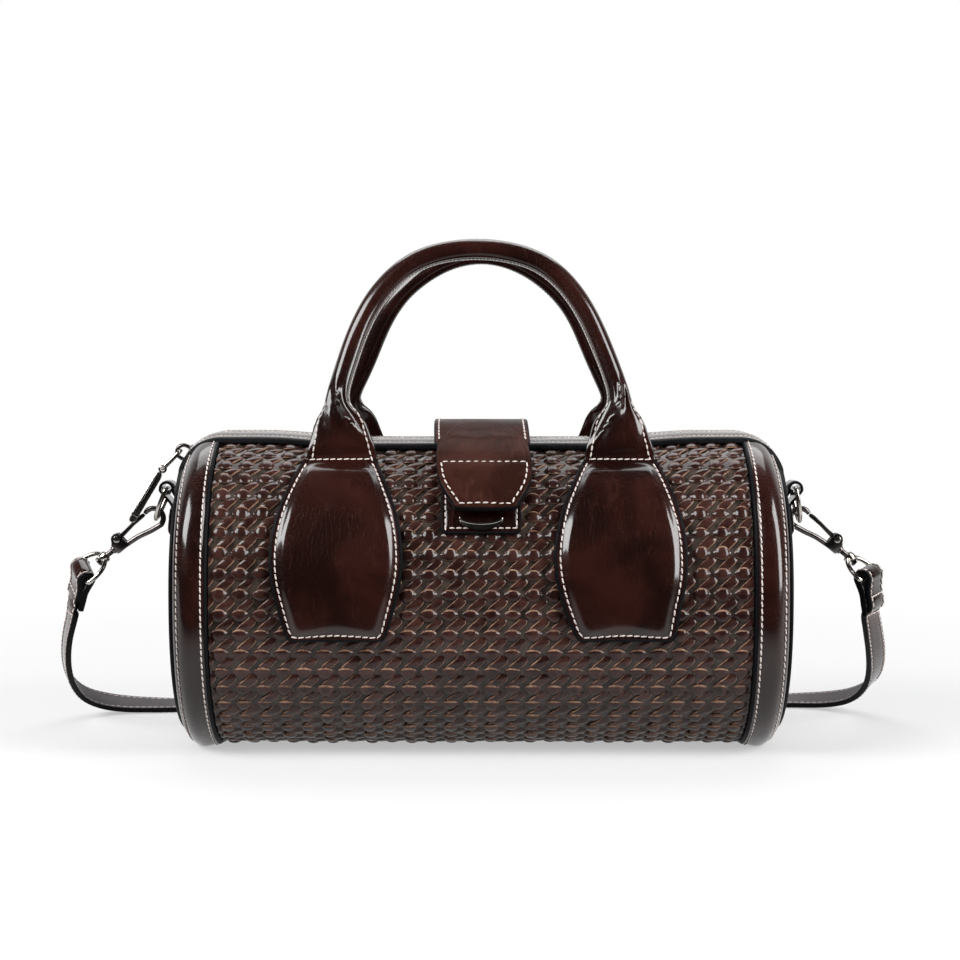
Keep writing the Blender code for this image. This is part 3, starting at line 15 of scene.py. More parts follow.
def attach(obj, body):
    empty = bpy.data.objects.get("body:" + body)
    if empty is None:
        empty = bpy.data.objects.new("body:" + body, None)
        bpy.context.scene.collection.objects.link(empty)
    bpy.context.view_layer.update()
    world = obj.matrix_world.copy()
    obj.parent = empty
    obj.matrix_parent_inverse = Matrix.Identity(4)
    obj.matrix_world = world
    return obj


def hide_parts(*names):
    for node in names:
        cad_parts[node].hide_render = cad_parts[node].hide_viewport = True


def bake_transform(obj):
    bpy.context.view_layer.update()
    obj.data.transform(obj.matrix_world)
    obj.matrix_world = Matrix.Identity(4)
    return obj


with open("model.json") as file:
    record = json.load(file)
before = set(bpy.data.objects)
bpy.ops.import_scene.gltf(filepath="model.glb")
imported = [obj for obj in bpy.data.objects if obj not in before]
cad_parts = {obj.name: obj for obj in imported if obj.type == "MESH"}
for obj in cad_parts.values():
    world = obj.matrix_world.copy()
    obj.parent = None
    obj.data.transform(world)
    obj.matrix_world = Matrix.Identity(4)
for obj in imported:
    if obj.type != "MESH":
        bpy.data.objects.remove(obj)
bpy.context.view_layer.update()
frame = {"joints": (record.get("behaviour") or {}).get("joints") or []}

bl_info = {
    "name": "Bowling Bag",
    "version": (1, 0, 0),
    "blender": (4, 5, 0),
    "location": "3D Viewport > Sidebar > Bag",
    "description": "Builds a woven leather bowling bag over its packed model",
    "category": "Object",
}

MM = 0.001

# Barrel section, a superellipse flattened underneath
HALF_DEPTH = 0.074
AXIS_HEIGHT = 0.075
TOP_RISE = 0.075
BOTTOM_DROP = 0.0762
ROUNDNESS = 2.3
CROWN_LIFT = 0.0032
CROWN_START = 0.055
CROWN_END = 0.108
WOVEN_HALF_LENGTH = 0.127
BAND_END = 0.145
SIDE_SHOULDER_START = 0.136
SIDE_SHOULDER_RADIUS = 0.010
TOP_SHOULDER_RADIUS = 0.020
DOME_HEIGHT = 0.0065
DOME_POWER = 2.5
PANEL_RIM_INSET = 0.0033
PANEL_RIM_X = 0.146
MOUTH_HALF_WIDTH = 0.024

# Zipped top
GUSSET_EDGE = 0.027
GUSSET_FOOT = 0.1285
ZIP_SLOT_HALF = 0.0055
SLOT_CLOSED_HALF = 0.00025
ARC_END_ANGLE = math.radians(72.0)
ARC_END = WOVEN_HALF_LENGTH + TOP_SHOULDER_RADIUS * ARC_END_ANGLE
ARC_CENTRE_Z = AXIS_HEIGHT + TOP_RISE + CROWN_LIFT - TOP_SHOULDER_RADIUS
ARC_END_Z = ARC_CENTRE_Z + TOP_SHOULDER_RADIUS * math.cos(ARC_END_ANGLE)
FOOT_STATION = ARC_END + ARC_END_Z - GUSSET_FOOT
SLOT_END = ARC_END + 0.003
SLOT_CLOSED = SLOT_END + 0.005
ZIP_END = WOVEN_HALF_LENGTH + TOP_SHOULDER_RADIUS * math.radians(70.0)

# Handles and patches
HANDLE_HALF_SPAN = 0.0675
HANDLE_TOP = 0.247
TUBE_RADIUS = 0.00525
HANDLE_LEAN_FOOT = 0.0384
HANDLE_LEAN_TOP = 0.020
HINGE_HEIGHT = 0.147
LIFT_OFF = 0.136
PATCH_TOP = 0.141
PATCH_BOTTOM = 0.0595
PATCH_BACKING = 0.0013
NECK_THICKNESS = 0.0032
NECK_CLEARANCE = 0.0003
NECK_MIDDLE = PATCH_BACKING + NECK_CLEARANCE + 0.5 * NECK_THICKNESS

# Flap, by section angle in degrees from the back
FLAP_WIDTH = 0.0462
FLAP_THICKNESS = 0.0018
FLAP_RISE = 0.003
FLAP_FRONT_LIFT = 0.0061
FLAP_HINGE_ANGLE = 66.5
FLAP_RAISED_ANGLE = 84.0
FLAP_TIP_ANGLE = 149.5
FLAP_END_ANGLE = FLAP_TIP_ANGLE - 3.5
ANCHOR_RISE_ANGLE = 50.0
ANCHOR_FOOT_ANGLE = 28.0
ARCH_FOOT_ANGLE = 119.0
ARCH_APEX_ANGLE = 94.0
FACING_TIP_WIDTH = 0.029

# Materials by their slot in a piece's own list
FACE, RIM, INSIDE = 0, 1, 2

# Corners closer together than this are joined
WELD = 0.00002
WELD_FINE = 0.00001
WELD_FINEST = 0.000005


# Barrel surface
def round_off(distance, radius):
    """How far a quarter round of this radius has fallen after a distance."""
    run = min(max(distance, 0.0), radius)
    return radius - math.sqrt(radius ** 2 - run ** 2)


def smoothstep(low, high, value):
    share = min(1.0, max(0.0, (value - low) / (high - low)))
    return share * share * (3.0 - 2.0 * share)


def interpolate(table, key):
    """Straight interpolation in a table of rising or falling keys."""
    for (key_a, value_a), (key_b, value_b) in zip(table, table[1:]):
        if min(key_a, key_b) <= key <= max(key_a, key_b):
            return value_a + (value_b - value_a) * (key - key_a) / (key_b - key_a)
    return min(table, key=lambda row: abs(row[0] - key))[1]


def half_depth(x):
    return HALF_DEPTH - round_off(abs(x) - SIDE_SHOULDER_START, SIDE_SHOULDER_RADIUS)


def top_rise(x):
    lift = CROWN_LIFT * smoothstep(CROWN_START, CROWN_END, abs(x))
    return TOP_RISE + lift - round_off(abs(x) - WOVEN_HALF_LENGTH, TOP_SHOULDER_RADIUS)


def bottom_drop(x):
    return BOTTOM_DROP - round_off(abs(x) - SIDE_SHOULDER_START, SIDE_SHOULDER_RADIUS)


def section_point(x, angle, lift, floor=0.0):
    """Point of the barrel's section at x, lift outside it.

    The angle is 0 degrees at the back, 90 at the top and 180 at the front.
    """
    cosine = math.cos(math.radians(angle))
    sine = math.sin(math.radians(angle))
    across = math.copysign(abs(cosine) ** (2.0 / ROUNDNESS), cosine)
    up = math.copysign(abs(sine) ** (2.0 / ROUNDNESS), sine)
    height = top_rise(x) if sine > 0.0 else bottom_drop(x)
    y = (half_depth(x) + lift) * across
    z = AXIS_HEIGHT + (height + lift) * up
    return Vector((x, y, max(z, floor)))


def mouth_angle(half_width, depth=HALF_DEPTH):
    """Section angle, back of the top, at which an edge lies this far from the middle."""
    return math.degrees(math.acos((half_width / depth) ** (0.5 * ROUNDNESS)))


MOUTH_EDGE = mouth_angle(MOUTH_HALF_WIDTH)


def wrap_angle(share, edge=MOUTH_EDGE):
    """Section angle at a share of the way from the mouth's front edge, underneath, to its back edge."""
    return 180.0 - edge + (180.0 + 2.0 * edge) * share


def front_surface(x, z):
    reach = abs(z - AXIS_HEIGHT) / (top_rise(x) if z > AXIS_HEIGHT else bottom_drop(x))
    return -half_depth(x) * (1.0 - min(reach, 1.0) ** ROUNDNESS) ** (1.0 / ROUNDNESS)


def top_surface(x, y):
    reach = min(abs(y) / half_depth(x), 1.0)
    return AXIS_HEIGHT + top_rise(x) * (1.0 - reach ** ROUNDNESS) ** (1.0 / ROUNDNESS)


def dome_x(y, z):
    """Distance of the domed end's outer surface from the middle of the bag."""
    up = z - AXIS_HEIGHT
    height = (top_rise(BAND_END) if up > 0.0 else bottom_drop(BAND_END)) - PANEL_RIM_INSET
    depth = half_depth(BAND_END) - PANEL_RIM_INSET
    reach = (abs(y / depth) ** ROUNDNESS + abs(up / height) ** ROUNDNESS) ** (1.0 / ROUNDNESS)
    return PANEL_RIM_X + DOME_HEIGHT * (1.0 - min(reach, 1.0) ** DOME_POWER)


def side_drop(x, y):
    across = min(abs(x), BAND_END)
    return top_surface(across, 0.0) - top_surface(across, y)


def top_point(station, y, lift):
    """Point on the top at a station along it, lift above the leather underneath."""
    side = math.copysign(1.0, station)
    along = abs(station)
    if along <= WOVEN_HALF_LENGTH:
        return Vector((station, y, top_surface(along, y) + lift))
    if along <= ARC_END:
        angle = (along - WOVEN_HALF_LENGTH) / TOP_SHOULDER_RADIUS
        radius = TOP_SHOULDER_RADIUS + lift
        x = WOVEN_HALF_LENGTH + radius * math.sin(angle)
        z = ARC_CENTRE_Z + radius * math.cos(angle)
        return Vector((side * x, y, z - side_drop(x, y)))
    z = ARC_END_Z - (along - ARC_END) - side_drop(BAND_END, y)
    return Vector((side * (dome_x(y, z) + lift + 0.0001), y, z))


def slot_half(station):
    """Half the gap between the two gusset strips."""
    past = (abs(station) - SLOT_END) / (SLOT_CLOSED - SLOT_END)
    if past <= 0.0:
        return ZIP_SLOT_HALF
    opening = math.sqrt(max(0.0, 1.0 - past ** 2))
    return SLOT_CLOSED_HALF + (ZIP_SLOT_HALF - SLOT_CLOSED_HALF) * opening


def around_table(count=1600):
    """Rows of distance round the barrel from the mouth's front edge, and section angle there."""
    rows = []
    distance = 0.0
    last = section_point(0.0, wrap_angle(0.0), 0.0)
    for step in range(count + 1):
        angle = wrap_angle(step / count)
        point = section_point(0.0, angle, 0.0)
        distance += (point - last).length
        last = point
        rows.append((distance, angle))
    return rows


AROUND = around_table()
AROUND_LENGTH = AROUND[-1][0]


def angle_around(distance):
    """Section angle at a distance round the barrel, found by halving."""
    low, high = 0, len(AROUND) - 1
    while high - low > 1:
        middle = (low + high) // 2
        if AROUND[middle][0] <= distance:
            low = middle
        else:
            high = middle
    share = (distance - AROUND[low][0]) / (AROUND[high][0] - AROUND[low][0])
    return AROUND[low][1] + share * (AROUND[high][1] - AROUND[low][1])


# Handle line
def lift_off_profile(x, z):
    """Depth of the line that a handle's leather follows: along the front, then upward."""
    if z <= LIFT_OFF:
        return front_surface(x, z)
    start = front_surface(x, LIFT_OFF)
    first = (start - front_surface(x, LIFT_OFF - MM)) / MM
    last = (HANDLE_LEAN_FOOT - HANDLE_LEAN_TOP) / (HANDLE_TOP - HINGE_HEIGHT)
    rise = z - LIFT_OFF
    turn = HINGE_HEIGHT - LIFT_OFF
    if rise <= turn:
        return start + first * rise + 0.5 * (last - first) * rise ** 2 / turn
    return start + 0.5 * (first + last) * turn + last * (rise - turn)


def patch_point(x, z, lift):
    """Point lift outside the handle's line at a place of the front."""
    step = 0.5 * MM
    slope = (lift_off_profile(x, z + step) - lift_off_profile(x, z - step)) / (2.0 * step)
    length = math.hypot(1.0, slope)
    return Vector((x, lift_off_profile(x, z) - lift / length, z + lift * slope / length))


def handle_depth(z):
    foot = lift_off_profile(HANDLE_HALF_SPAN, HINGE_HEIGHT) - NECK_MIDDLE
    share = (z - HINGE_HEIGHT) / (HANDLE_TOP - HINGE_HEIGHT)
    return foot + (-HANDLE_LEAN_TOP - foot) * share


def smooth_route(points, steps):
    """Catmull-Rom points through a given route, steps to each stretch."""
    knots = [Vector(point) for point in points]
    ends = [2.0 * knots[0] - knots[1]] + knots + [2.0 * knots[-1] - knots[-2]]
    route = []
    for a, b, c, d in zip(ends, ends[1:], ends[2:], ends[3:]):
        for step in range(steps):
            t = step / steps
            route.append(0.5 * (2.0 * b + (c - a) * t + (2.0 * a - 5.0 * b + 4.0 * c - d) * t ** 2
                                + (3.0 * b - a - 3.0 * c + d) * t ** 3))
    route.append(knots[-1])
    return route


def turned(point, side):
    """A point of the front for side 1, mirrored to the back for side -1."""
    return Vector((point.x, side * point.y, point.z))


# Shader maths and materials
class Value:
    """A shader socket that takes part in arithmetic."""

    def __init__(self, shader, socket):
        self.shader = shader
        self.socket = socket

    def maths(self, operation, *others):
        return self.shader.node("ShaderNodeMath", {"operation": operation}, [self, *others])

    def __add__(self, other):
        return self.maths("ADD", other)

    def __radd__(self, other):
        return self.shader.node("ShaderNodeMath", {"operation": "ADD"}, [other, self])

    def __mul__(self, other):
        return self.maths("MULTIPLY", other)

    def clamp(self):
        return self.shader.node("ShaderNodeClamp", {}, [self])


class Nodes:
    """A node tree that grows by adding nodes to its sockets."""

    def __init__(self, tree):
        self.tree = tree

    def node(self, kind, settings, sockets, output=0):
        """Adds a node, its settings first, then values or links for its sockets."""
        made = self.tree.nodes.new(kind)
        for name, value in settings.items():
            setattr(made, name, value)
        pairs = sockets.items() if isinstance(sockets, dict) else enumerate(sockets)
        for name, value in pairs:
            self.feed(made.inputs[name], value)
        return Value(self, made.outputs[output])

    def feed(self, socket, value):
        if isinstance(value, Value):
            self.tree.links.new(value.socket, socket)
        else:
            socket.default_value = value

    def parts(self, place):
        """The three coordinates of a place or direction."""
        node = self.tree.nodes.new("ShaderNodeSeparateXYZ")
        self.feed(node.inputs[0], place)
        return [Value(self, socket) for socket in node.outputs]

    def ramp(self, factor, low, high):
        """0 below low, 1 above high."""
        return self.node("ShaderNodeMapRange", {"interpolation_type": "SMOOTHSTEP"},
                         {"Value": factor, "From Min": low, "From Max": high})

    def choose(self, factor, first, second):
        """Surface or background from first at 0 to second at 1."""
        return self.node("ShaderNodeMixShader", {}, [factor, first, second])

    def rays(self):
        """1 for rays from the camera, and 1 for rays that mirror or pass through."""
        found = self.tree.nodes.new("ShaderNodeLightPath").outputs
        glossy = Value(self, found["Is Glossy Ray"])
        mirrored = glossy.maths("MAXIMUM", Value(self, found["Is Transmission Ray"]))
        return Value(self, found["Is Camera Ray"]), mirrored


class Shader(Nodes):
    """One material and the node tree behind its Principled surface."""

    def __init__(self, name):
        self.material = bpy.data.materials.new(name)
        self.material.use_nodes = True
        super().__init__(self.material.node_tree)
        self.surface = self.tree.nodes["Principled BSDF"]
        self.place = self.node("ShaderNodeTexCoord", {}, {}, output="Object")

    def noise(self, scale, detail=3.0, stretch=None, distortion=0.0):
        """Noise whose scale counts features to a metre, drawn out by stretch."""
        place = self.place
        if stretch is not None:
            place = self.node("ShaderNodeMapping", {}, {"Vector": self.place, "Scale": stretch})
        return self.node("ShaderNodeTexNoise", {}, {"Vector": place, "Scale": scale, "Detail": detail,
                                                    "Distortion": distortion})

    def mix(self, factor, first, second):
        """Colour from first at 0 to second at 1."""
        return self.node("ShaderNodeMix", {"data_type": "RGBA"},
                         {0: factor, 6: opaque(first), 7: opaque(second)}, output=2)

    def bump(self, height, distance, strength=1.0):
        return self.node("ShaderNodeBump", {}, {"Height": height, "Distance": distance, "Strength": strength})

    def set(self, **sockets):
        """Values or links for the surface; spaces in socket names are written as underscores."""
        for name, value in sockets.items():
            self.feed(self.surface.inputs[name.replace("_", " ")], value)
        return self.material


def opaque(colour):
    return colour if isinstance(colour, Value) or len(colour) == 4 else (*colour, 1.0)


def glazed_leather(name, dark, light, gloss, shine):
    """Waxed calf: cloudy colour, fine crackle, long creases and a hard glaze."""
    shader = Shader(name)
    cloud = shader.noise(26.0, 4.0, distortion=0.6)
    colour = shader.mix(shader.ramp(cloud, 0.38, 0.66), dark, light)
    creases = shader.noise(210.0, 5.0, stretch=(1.0, 0.35, 0.35), distortion=1.2)
    crease_lines = shader.ramp(creases, 0.56, 0.72)
    cells = shader.node("ShaderNodeTexVoronoi", {"feature": "DISTANCE_TO_EDGE"},
                        {"Vector": shader.place, "Scale": 520.0, "Randomness": 1.0})
    crackle = shader.ramp(cells, 0.0, 0.09)
    worn = shader.mix(crease_lines * 0.35, colour, tuple(1.7 * part for part in light))
    grain = shader.noise(1500.0, 2.0)
    slow = shader.noise(85.0, 2.0)
    height = slow * 0.55 + creases * 0.30 + crackle * 0.10 + grain * 0.07
    return shader.set(Base_Color=worn, Roughness=(0.27 + crease_lines * 0.14 + grain * 0.06),
                      Coat_Weight=gloss, Coat_Roughness=0.13, Coat_IOR=1.5, Specular_IOR_Level=shine,
                      Normal=shader.bump(height, 0.0009, 0.55))


def woven_leather(name, dark, light):
    """Narrow cut strips: pull-up colour, slight lengthwise grain, semi-gloss."""
    shader = Shader(name)
    cloud = shader.noise(60.0, 3.0, distortion=0.4)
    strip = shader.noise(260.0, 2.0)
    colour = shader.mix(shader.ramp(cloud * 0.6 + strip * 0.4, 0.35, 0.66), dark, light)
    grain = shader.noise(1300.0, 3.0, stretch=(0.35, 1.0, 1.0))
    return shader.set(Base_Color=colour, Roughness=0.24 + grain * 0.18, Specular_IOR_Level=0.05,
                      Coat_Weight=0.6, Coat_Roughness=0.13,
                      Normal=shader.bump(grain * 0.5 + strip * 0.5, 0.0004, 0.5))


def raw_edge(name, dark, light):
    """Cut leather edge: fibrous tan, darker where wax has run in."""
    shader = Shader(name)
    fibre = shader.noise(900.0, 4.0)
    stain = shader.noise(120.0, 2.0)
    colour = shader.mix(shader.ramp(fibre * 0.5 + stain * 0.5, 0.38, 0.62), dark, light)
    return shader.set(Base_Color=colour, Roughness=0.72, Normal=shader.bump(fibre, 0.0003, 0.6))


def window_strip(name, dark, light):
    """The flat glossy strip seen behind the diagonal strands."""
    shader = Shader(name)
    cloud = shader.noise(170.0, 3.0)
    colour = shader.mix(shader.ramp(cloud, 0.35, 0.65), dark, light)
    return shader.set(Base_Color=colour, Roughness=0.20 + cloud * 0.12, Specular_IOR_Level=0.1,
                      Coat_Weight=0.35, Coat_Roughness=0.10,
                      Normal=shader.bump(cloud, 0.0005, 0.4))


def edge_paint(name, colour):
    """Thick edge paint with the lumps of several coats."""
    shader = Shader(name)
    lumps = shader.noise(420.0, 2.0)
    dust = shader.noise(1600.0, 2.0)
    shade = shader.mix(shader.ramp(lumps, 0.4, 0.62), colour, tuple(1.5 * part for part in colour))
    return shader.set(Base_Color=shade, Roughness=0.40 + dust * 0.18, Specular_IOR_Level=0.08,
                      Normal=shader.bump(lumps * 0.8 + dust * 0.2, 0.0005, 0.5))


def waxed_thread(name, colour):
    shader = Shader(name)
    twist = shader.noise(2600.0, 2.0)
    shade = shader.mix(shader.ramp(twist, 0.35, 0.65), tuple(0.72 * part for part in colour), colour)
    return shader.set(Base_Color=shade, Roughness=0.58, Sheen_Weight=0.15,
                      Normal=shader.bump(twist, 0.0003, 0.6))


def plated_metal(name, colour, roughness):
    """Plated casting: bright, with faint polishing lines and duller spots."""
    shader = Shader(name)
    lines = shader.noise(900.0, 3.0, stretch=(1.0, 0.12, 1.0))
    spots = shader.noise(160.0, 3.0)
    shade = shader.mix(shader.ramp(spots, 0.35, 0.7), colour, tuple(0.86 * part for part in colour))
    return shader.set(Base_Color=shade, Metallic=1.0, Roughness=(roughness + lines * 0.07 + spots * 0.05),
                      Normal=shader.bump(lines, 0.00012, 0.35))


def woven_cloth(name, dark, light, pitch):
    """Plain weave of two threads at a pitch in metres, with painted shade: its valleys are coloured darker
    than the threads' tops.
    """
    shader = Shader(name)
    turn = math.tau / pitch
    across, depth, height = [(part * turn).maths("SINE") for part in shader.parts(shader.place)]
    weave = across * depth * 0.5 + across * height * 0.5
    # Painted shade: the weave's valleys take the darker colour, the threads' tops the lighter one
    shade = shader.mix((weave * 0.5 + 0.5).clamp(), dark, light)
    fuzz = shader.noise(1800.0, 3.0)
    return shader.set(Base_Color=shade, Roughness=0.85, Sheen_Weight=0.3,
                      Normal=shader.bump(weave * 0.7 + fuzz * 0.3, 0.0002, 0.6))


def suede_back(name, dark, light):
    """Flesh side of the strap: matte, fibrous, a little dusty."""
    shader = Shader(name)
    fibre = shader.noise(1400.0, 4.0)
    patches = shader.noise(50.0, 3.0)
    shade = shader.mix(shader.ramp(fibre * 0.45 + patches * 0.55, 0.36, 0.64), dark, light)
    return shader.set(Base_Color=shade, Roughness=0.66 + fibre * 0.12, Sheen_Weight=0.2,
                      Normal=shader.bump(fibre, 0.0003, 0.5))


def fibre_board(name, colour):
    shader = Shader(name)
    pulp = shader.noise(700.0, 4.0)
    shade = shader.mix(pulp, tuple(0.7 * part for part in colour), colour)
    return shader.set(Base_Color=shade, Roughness=0.82, Normal=shader.bump(pulp, 0.0003, 0.5))


# Each finish: its maker, its material's name, the colours it takes from the settings, and further values
FINISH_TABLE = {
    "glazed leather": (glazed_leather, "glazed_leather", ("leather_dark", "leather_light"), (0.90, 0.06)),
    "flap leather": (glazed_leather, "flap_leather", ("flap_dark", "flap_light"), (0.05, 0.01)),
    "woven leather": (woven_leather, "woven_leather", ("weave_dark", "weave_light"), ()),
    "raw edge": (raw_edge, "raw_edge", ("edge_dark", "edge_light"), ()),
    "window strip": (window_strip, "window_strip", ("window_dark", "window_light"), ()),
    "edge paint": (edge_paint, "edge_paint", ("edge_paint",), ()),
    "thread": (waxed_thread, "waxed_thread", ("thread",), ()),
    "nickel": (plated_metal, "polished_nickel", ("nickel",), (0.10,)),
    "dark nickel": (plated_metal, "dark_nickel", ("dark_nickel",), (0.18,)),
    "tape": (woven_cloth, "zip_tape", ("cloth_valley_shade", "cloth_light"), (0.0007,)),
    "lining": (woven_cloth, "lining_cloth", ("cloth_valley_shade", "cloth_light"), (0.0009,)),
    "strap back": (suede_back, "strap_back", ("back_dark", "back_light"), ()),
    "board": (fibre_board, "stiffener_board", ("board",), ()),
}
FINISHES = {}


def finish_named(finish):
    """A material made once and shared by every piece of that finish."""
    if finish not in FINISHES:
        maker, name, colours, values = FINISH_TABLE[finish]
        chosen = [getattr(bpy.context.scene.bag_colours, colour) for colour in colours]
        FINISHES[finish] = maker(name, *chosen, *values)
    return FINISHES[finish]


# Mesh tools
def add_sheet(shape, columns, rows, place, slots=FACE, weld=0.0):
    """A sheet of faces with each corner at place(u, v); slots is a material or picks one by (u, v)."""
    made = bmesh.ops.create_grid(shape, x_segments=columns, y_segments=rows, size=0.5)["verts"]
    for face in {face for corner in made for face in corner.link_faces}:
        middle = face.calc_center_median()
        face.material_index = slots(middle.x + 0.5, middle.y + 0.5) if callable(slots) else slots
    for corner in made:
        corner.co = place(corner.co.x + 0.5, corner.co.y + 0.5)
    if weld > 0.0:
        bmesh.ops.remove_doubles(shape, verts=made, dist=weld)


def cap_ends(shape, material=FACE):
    """Closes every open loop with one face."""
    edges = [edge for edge in shape.edges if edge.is_boundary]
    for face in bmesh.ops.holes_fill(shape, edges=edges, sides=0)["faces"]:
        face.material_index = material


def add_tube(shape, route, radius, sides=12, cyclic=False, material=FACE):
    """A round tube along a route; radius may be a function of the share along it."""
    last = len(route) - 1
    size = radius if callable(radius) else (lambda share: radius)
    frames = route_frames(route, cyclic)

    def place(u, v):
        index = round(u * (last + 1)) % len(route) if cyclic else round(u * last)
        lean, depth = frames[index]
        angle = math.tau * v
        return route[index] + size(index / last) * (math.cos(angle) * lean + math.sin(angle) * depth)

    before = set(shape.faces)
    columns = last + 1 if cyclic else last
    add_sheet(shape, columns, sides, place, material, WELD_FINE)
    new_faces = [face for face in shape.faces if face not in before]
    if not cyclic:
        edges = [edge for edge in {edge for face in new_faces for edge in face.edges} if edge.is_boundary]
        caps = bmesh.ops.holes_fill(shape, edges=edges, sides=0)["faces"]
        for face in caps:
            face.material_index = material
        new_faces = new_faces + list(caps)
    bmesh.ops.recalc_face_normals(shape, faces=new_faces)


def route_frames(route, cyclic=False):
    """Two directions square to the route at each point, carried along without twist."""
    count = len(route)
    frames = []
    lean = None
    for index in range(count):
        before = route[(index - 1) % count] if cyclic else route[max(index - 1, 0)]
        after = route[(index + 1) % count] if cyclic else route[min(index + 1, count - 1)]
        along = (after - before).normalized()
        if lean is None:
            lean = Vector((0.0, 1.0, 0.0)).cross(along)
            if lean.length < 0.2:
                lean = Vector((0.0, 0.0, 1.0)).cross(along)
        lean = (lean - along * lean.dot(along)).normalized()
        frames.append((lean, along.cross(lean)))
    return frames


def placed(origin, across, up, out):
    """Matrix whose X, Y and Z axes lie along three directions from an origin."""
    return Matrix.Translation(origin) @ Matrix((across, up, out)).transposed().to_4x4()


def wear_edges(shape, edges, amount, segments=2):
    """Rounds the edges off and hands back the new faces."""
    return bmesh.ops.bevel(shape, geom=list(edges), offset=amount, segments=segments, profile=0.5,
                           affect="EDGES", material=-1)["faces"]


def add_box(shape, matrix, size, bevel=0.0, segments=1):
    """A box of this size in the matrix's frame, its edges worn by bevel."""
    made = bmesh.ops.create_cube(shape, size=1.0, matrix=matrix @ Matrix.Diagonal((*size, 1.0)))["verts"]
    if bevel > 0.0:
        wear_edges(shape, {edge for corner in made for edge in corner.link_edges}, bevel, segments)


def add_rod(shape, start, end, radius, sides=20, material=FACE, bevel=0.0):
    """A straight rod from start to end with rounded rims."""
    along = end - start
    matrix = Matrix.Translation(0.5 * (start + end)) @ along.to_track_quat("Z", "Y").to_matrix().to_4x4()
    made = bmesh.ops.create_cone(shape, cap_ends=True, segments=sides, radius1=radius, radius2=radius,
                                 depth=along.length, matrix=matrix)["verts"]
    faces = {face for corner in made for face in corner.link_faces}
    for face in faces:
        face.material_index = material
    if bevel > 0.0:
        rims = {edge for face in faces if len(face.verts) > 4 for edge in face.edges}
        wear_edges(shape, rims, bevel)


def add_plate(shape, outline, thickness, matrix, material=FACE, bevel=0.0):
    """A flat plate from an outline of (across, up) corners, its middle plane placed by matrix."""
    corners = [shape.verts.new((across, up, -0.5 * thickness)) for across, up in outline]
    face = shape.faces.new(corners)
    face.normal_update()
    raised = bmesh.ops.extrude_face_region(shape, geom=[face])["geom"]
    top = [item for item in raised if isinstance(item, bmesh.types.BMVert)]
    bmesh.ops.translate(shape, verts=top, vec=(0.0, 0.0, thickness))
    every = corners + top
    faces = list({item for corner in every for item in corner.link_faces})
    bmesh.ops.recalc_face_normals(shape, faces=faces)
    for item in faces:
        item.material_index = material
    if bevel > 0.0:
        caps = [item for item in faces if any(all(c in side for c in item.verts) for side in (corners, top))]
        worn = wear_edges(shape, {edge for item in caps for edge in item.edges}, bevel)
        kept = {corner for corner in every if corner.is_valid}
        every = list({corner for item in worn for corner in item.verts} | kept)
    bmesh.ops.transform(shape, matrix=matrix, verts=[corner for corner in every if corner.is_valid])


def add_stitches(shape, route, normals, pitch=1.0, thread=1.0, cover=0.90, sunk=0.22, setting="pitch"):
    """Stitches end to end along a route, each a bead of thread.

    normals holds a direction to each point or is a function that gives one. pitch and thread are
    shares of the settings, cover is how much of its step a bead fills, and sunk is how deep it
    sits, in threads.
    """
    stitching = bpy.context.scene.bag_stitching
    pitch *= getattr(stitching, setting)
    thread *= stitching.thread
    if callable(normals):
        normals = surface_normals(route, normals)
    lengths = [0.0]
    for first, second in zip(route, route[1:]):
        lengths.append(lengths[-1] + (second - first).length)
    count = max(1, round(lengths[-1] / pitch))
    step = lengths[-1] / count
    span = 0
    for number in range(count):
        middle = (number + 0.5) * step
        while span < len(route) - 2 and lengths[span + 1] < middle:
            span += 1
        share = (middle - lengths[span]) / max(lengths[span + 1] - lengths[span], 1e-9)
        point = route[span].lerp(route[span + 1], share)
        normal = normals[span].lerp(normals[span + 1], share).normalized()
        along = (route[span + 1] - route[span]).normalized()
        across = normal.cross(along).normalized()
        lean = along + across * 0.10
        size = Matrix.Diagonal((0.5 * step * cover, 0.5 * thread, 0.5 * thread, 1.0))
        place = placed(point + normal * thread * (0.5 - sunk), lean.normalized(), across, normal) @ size
        bead = bmesh.ops.create_icosphere(shape, subdivisions=1, radius=1.0)["verts"]
        for corner in bead:
            blunt = math.copysign(abs(corner.co.x) ** 0.55, corner.co.x)
            corner.co = place @ Vector((blunt, corner.co.y, corner.co.z))


def wall(item, thickness, offset=-1.0):
    """Gives an open sheet its thickness."""
    made = item.modifiers.new("wall", "SOLIDIFY")
    made.thickness = thickness
    made.offset = offset
    made.use_even_offset = False
    made.use_quality_normals = True


def finish_piece(shape, name, finishes, body=None, replaced=(), inside=None, smooth=40.0):
    """Turns a bmesh into a piece that rides on a body; its faces turn away from inside(point)."""
    if inside is not None:
        total = sum(face.normal.dot(face.calc_center_median() - inside(face.calc_center_median()))
                    for face in shape.faces)
        if total < 0.0:
            bmesh.ops.reverse_faces(shape, faces=shape.faces)
    mesh = bpy.data.meshes.new(name)
    shape.to_mesh(mesh)
    shape.free()
    item = bpy.data.objects.new(name, mesh)
    bpy.context.scene.collection.objects.link(item)
    for finish in finishes:
        mesh.materials.append(finish_named(finish))
    mesh.shade_smooth()
    mesh.set_sharp_from_angle(angle=math.radians(smooth))
    if body is not None:
        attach(item, body)
    if replaced:
        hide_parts(*replaced)
    return item


def barrel_axis(point):
    return Vector((point.x, 0.0, AXIS_HEIGHT))


def surface_normals(route, outward):
    """The directions outward(point) along a route, made square to it."""
    normals = []
    for index, point in enumerate(route):
        before = route[max(index - 1, 0)]
        after = route[min(index + 1, len(route) - 1)]
        along = (after - before).normalized()
        away = outward(point)
        normals.append((away - along * away.dot(along)).normalized())
    return normals


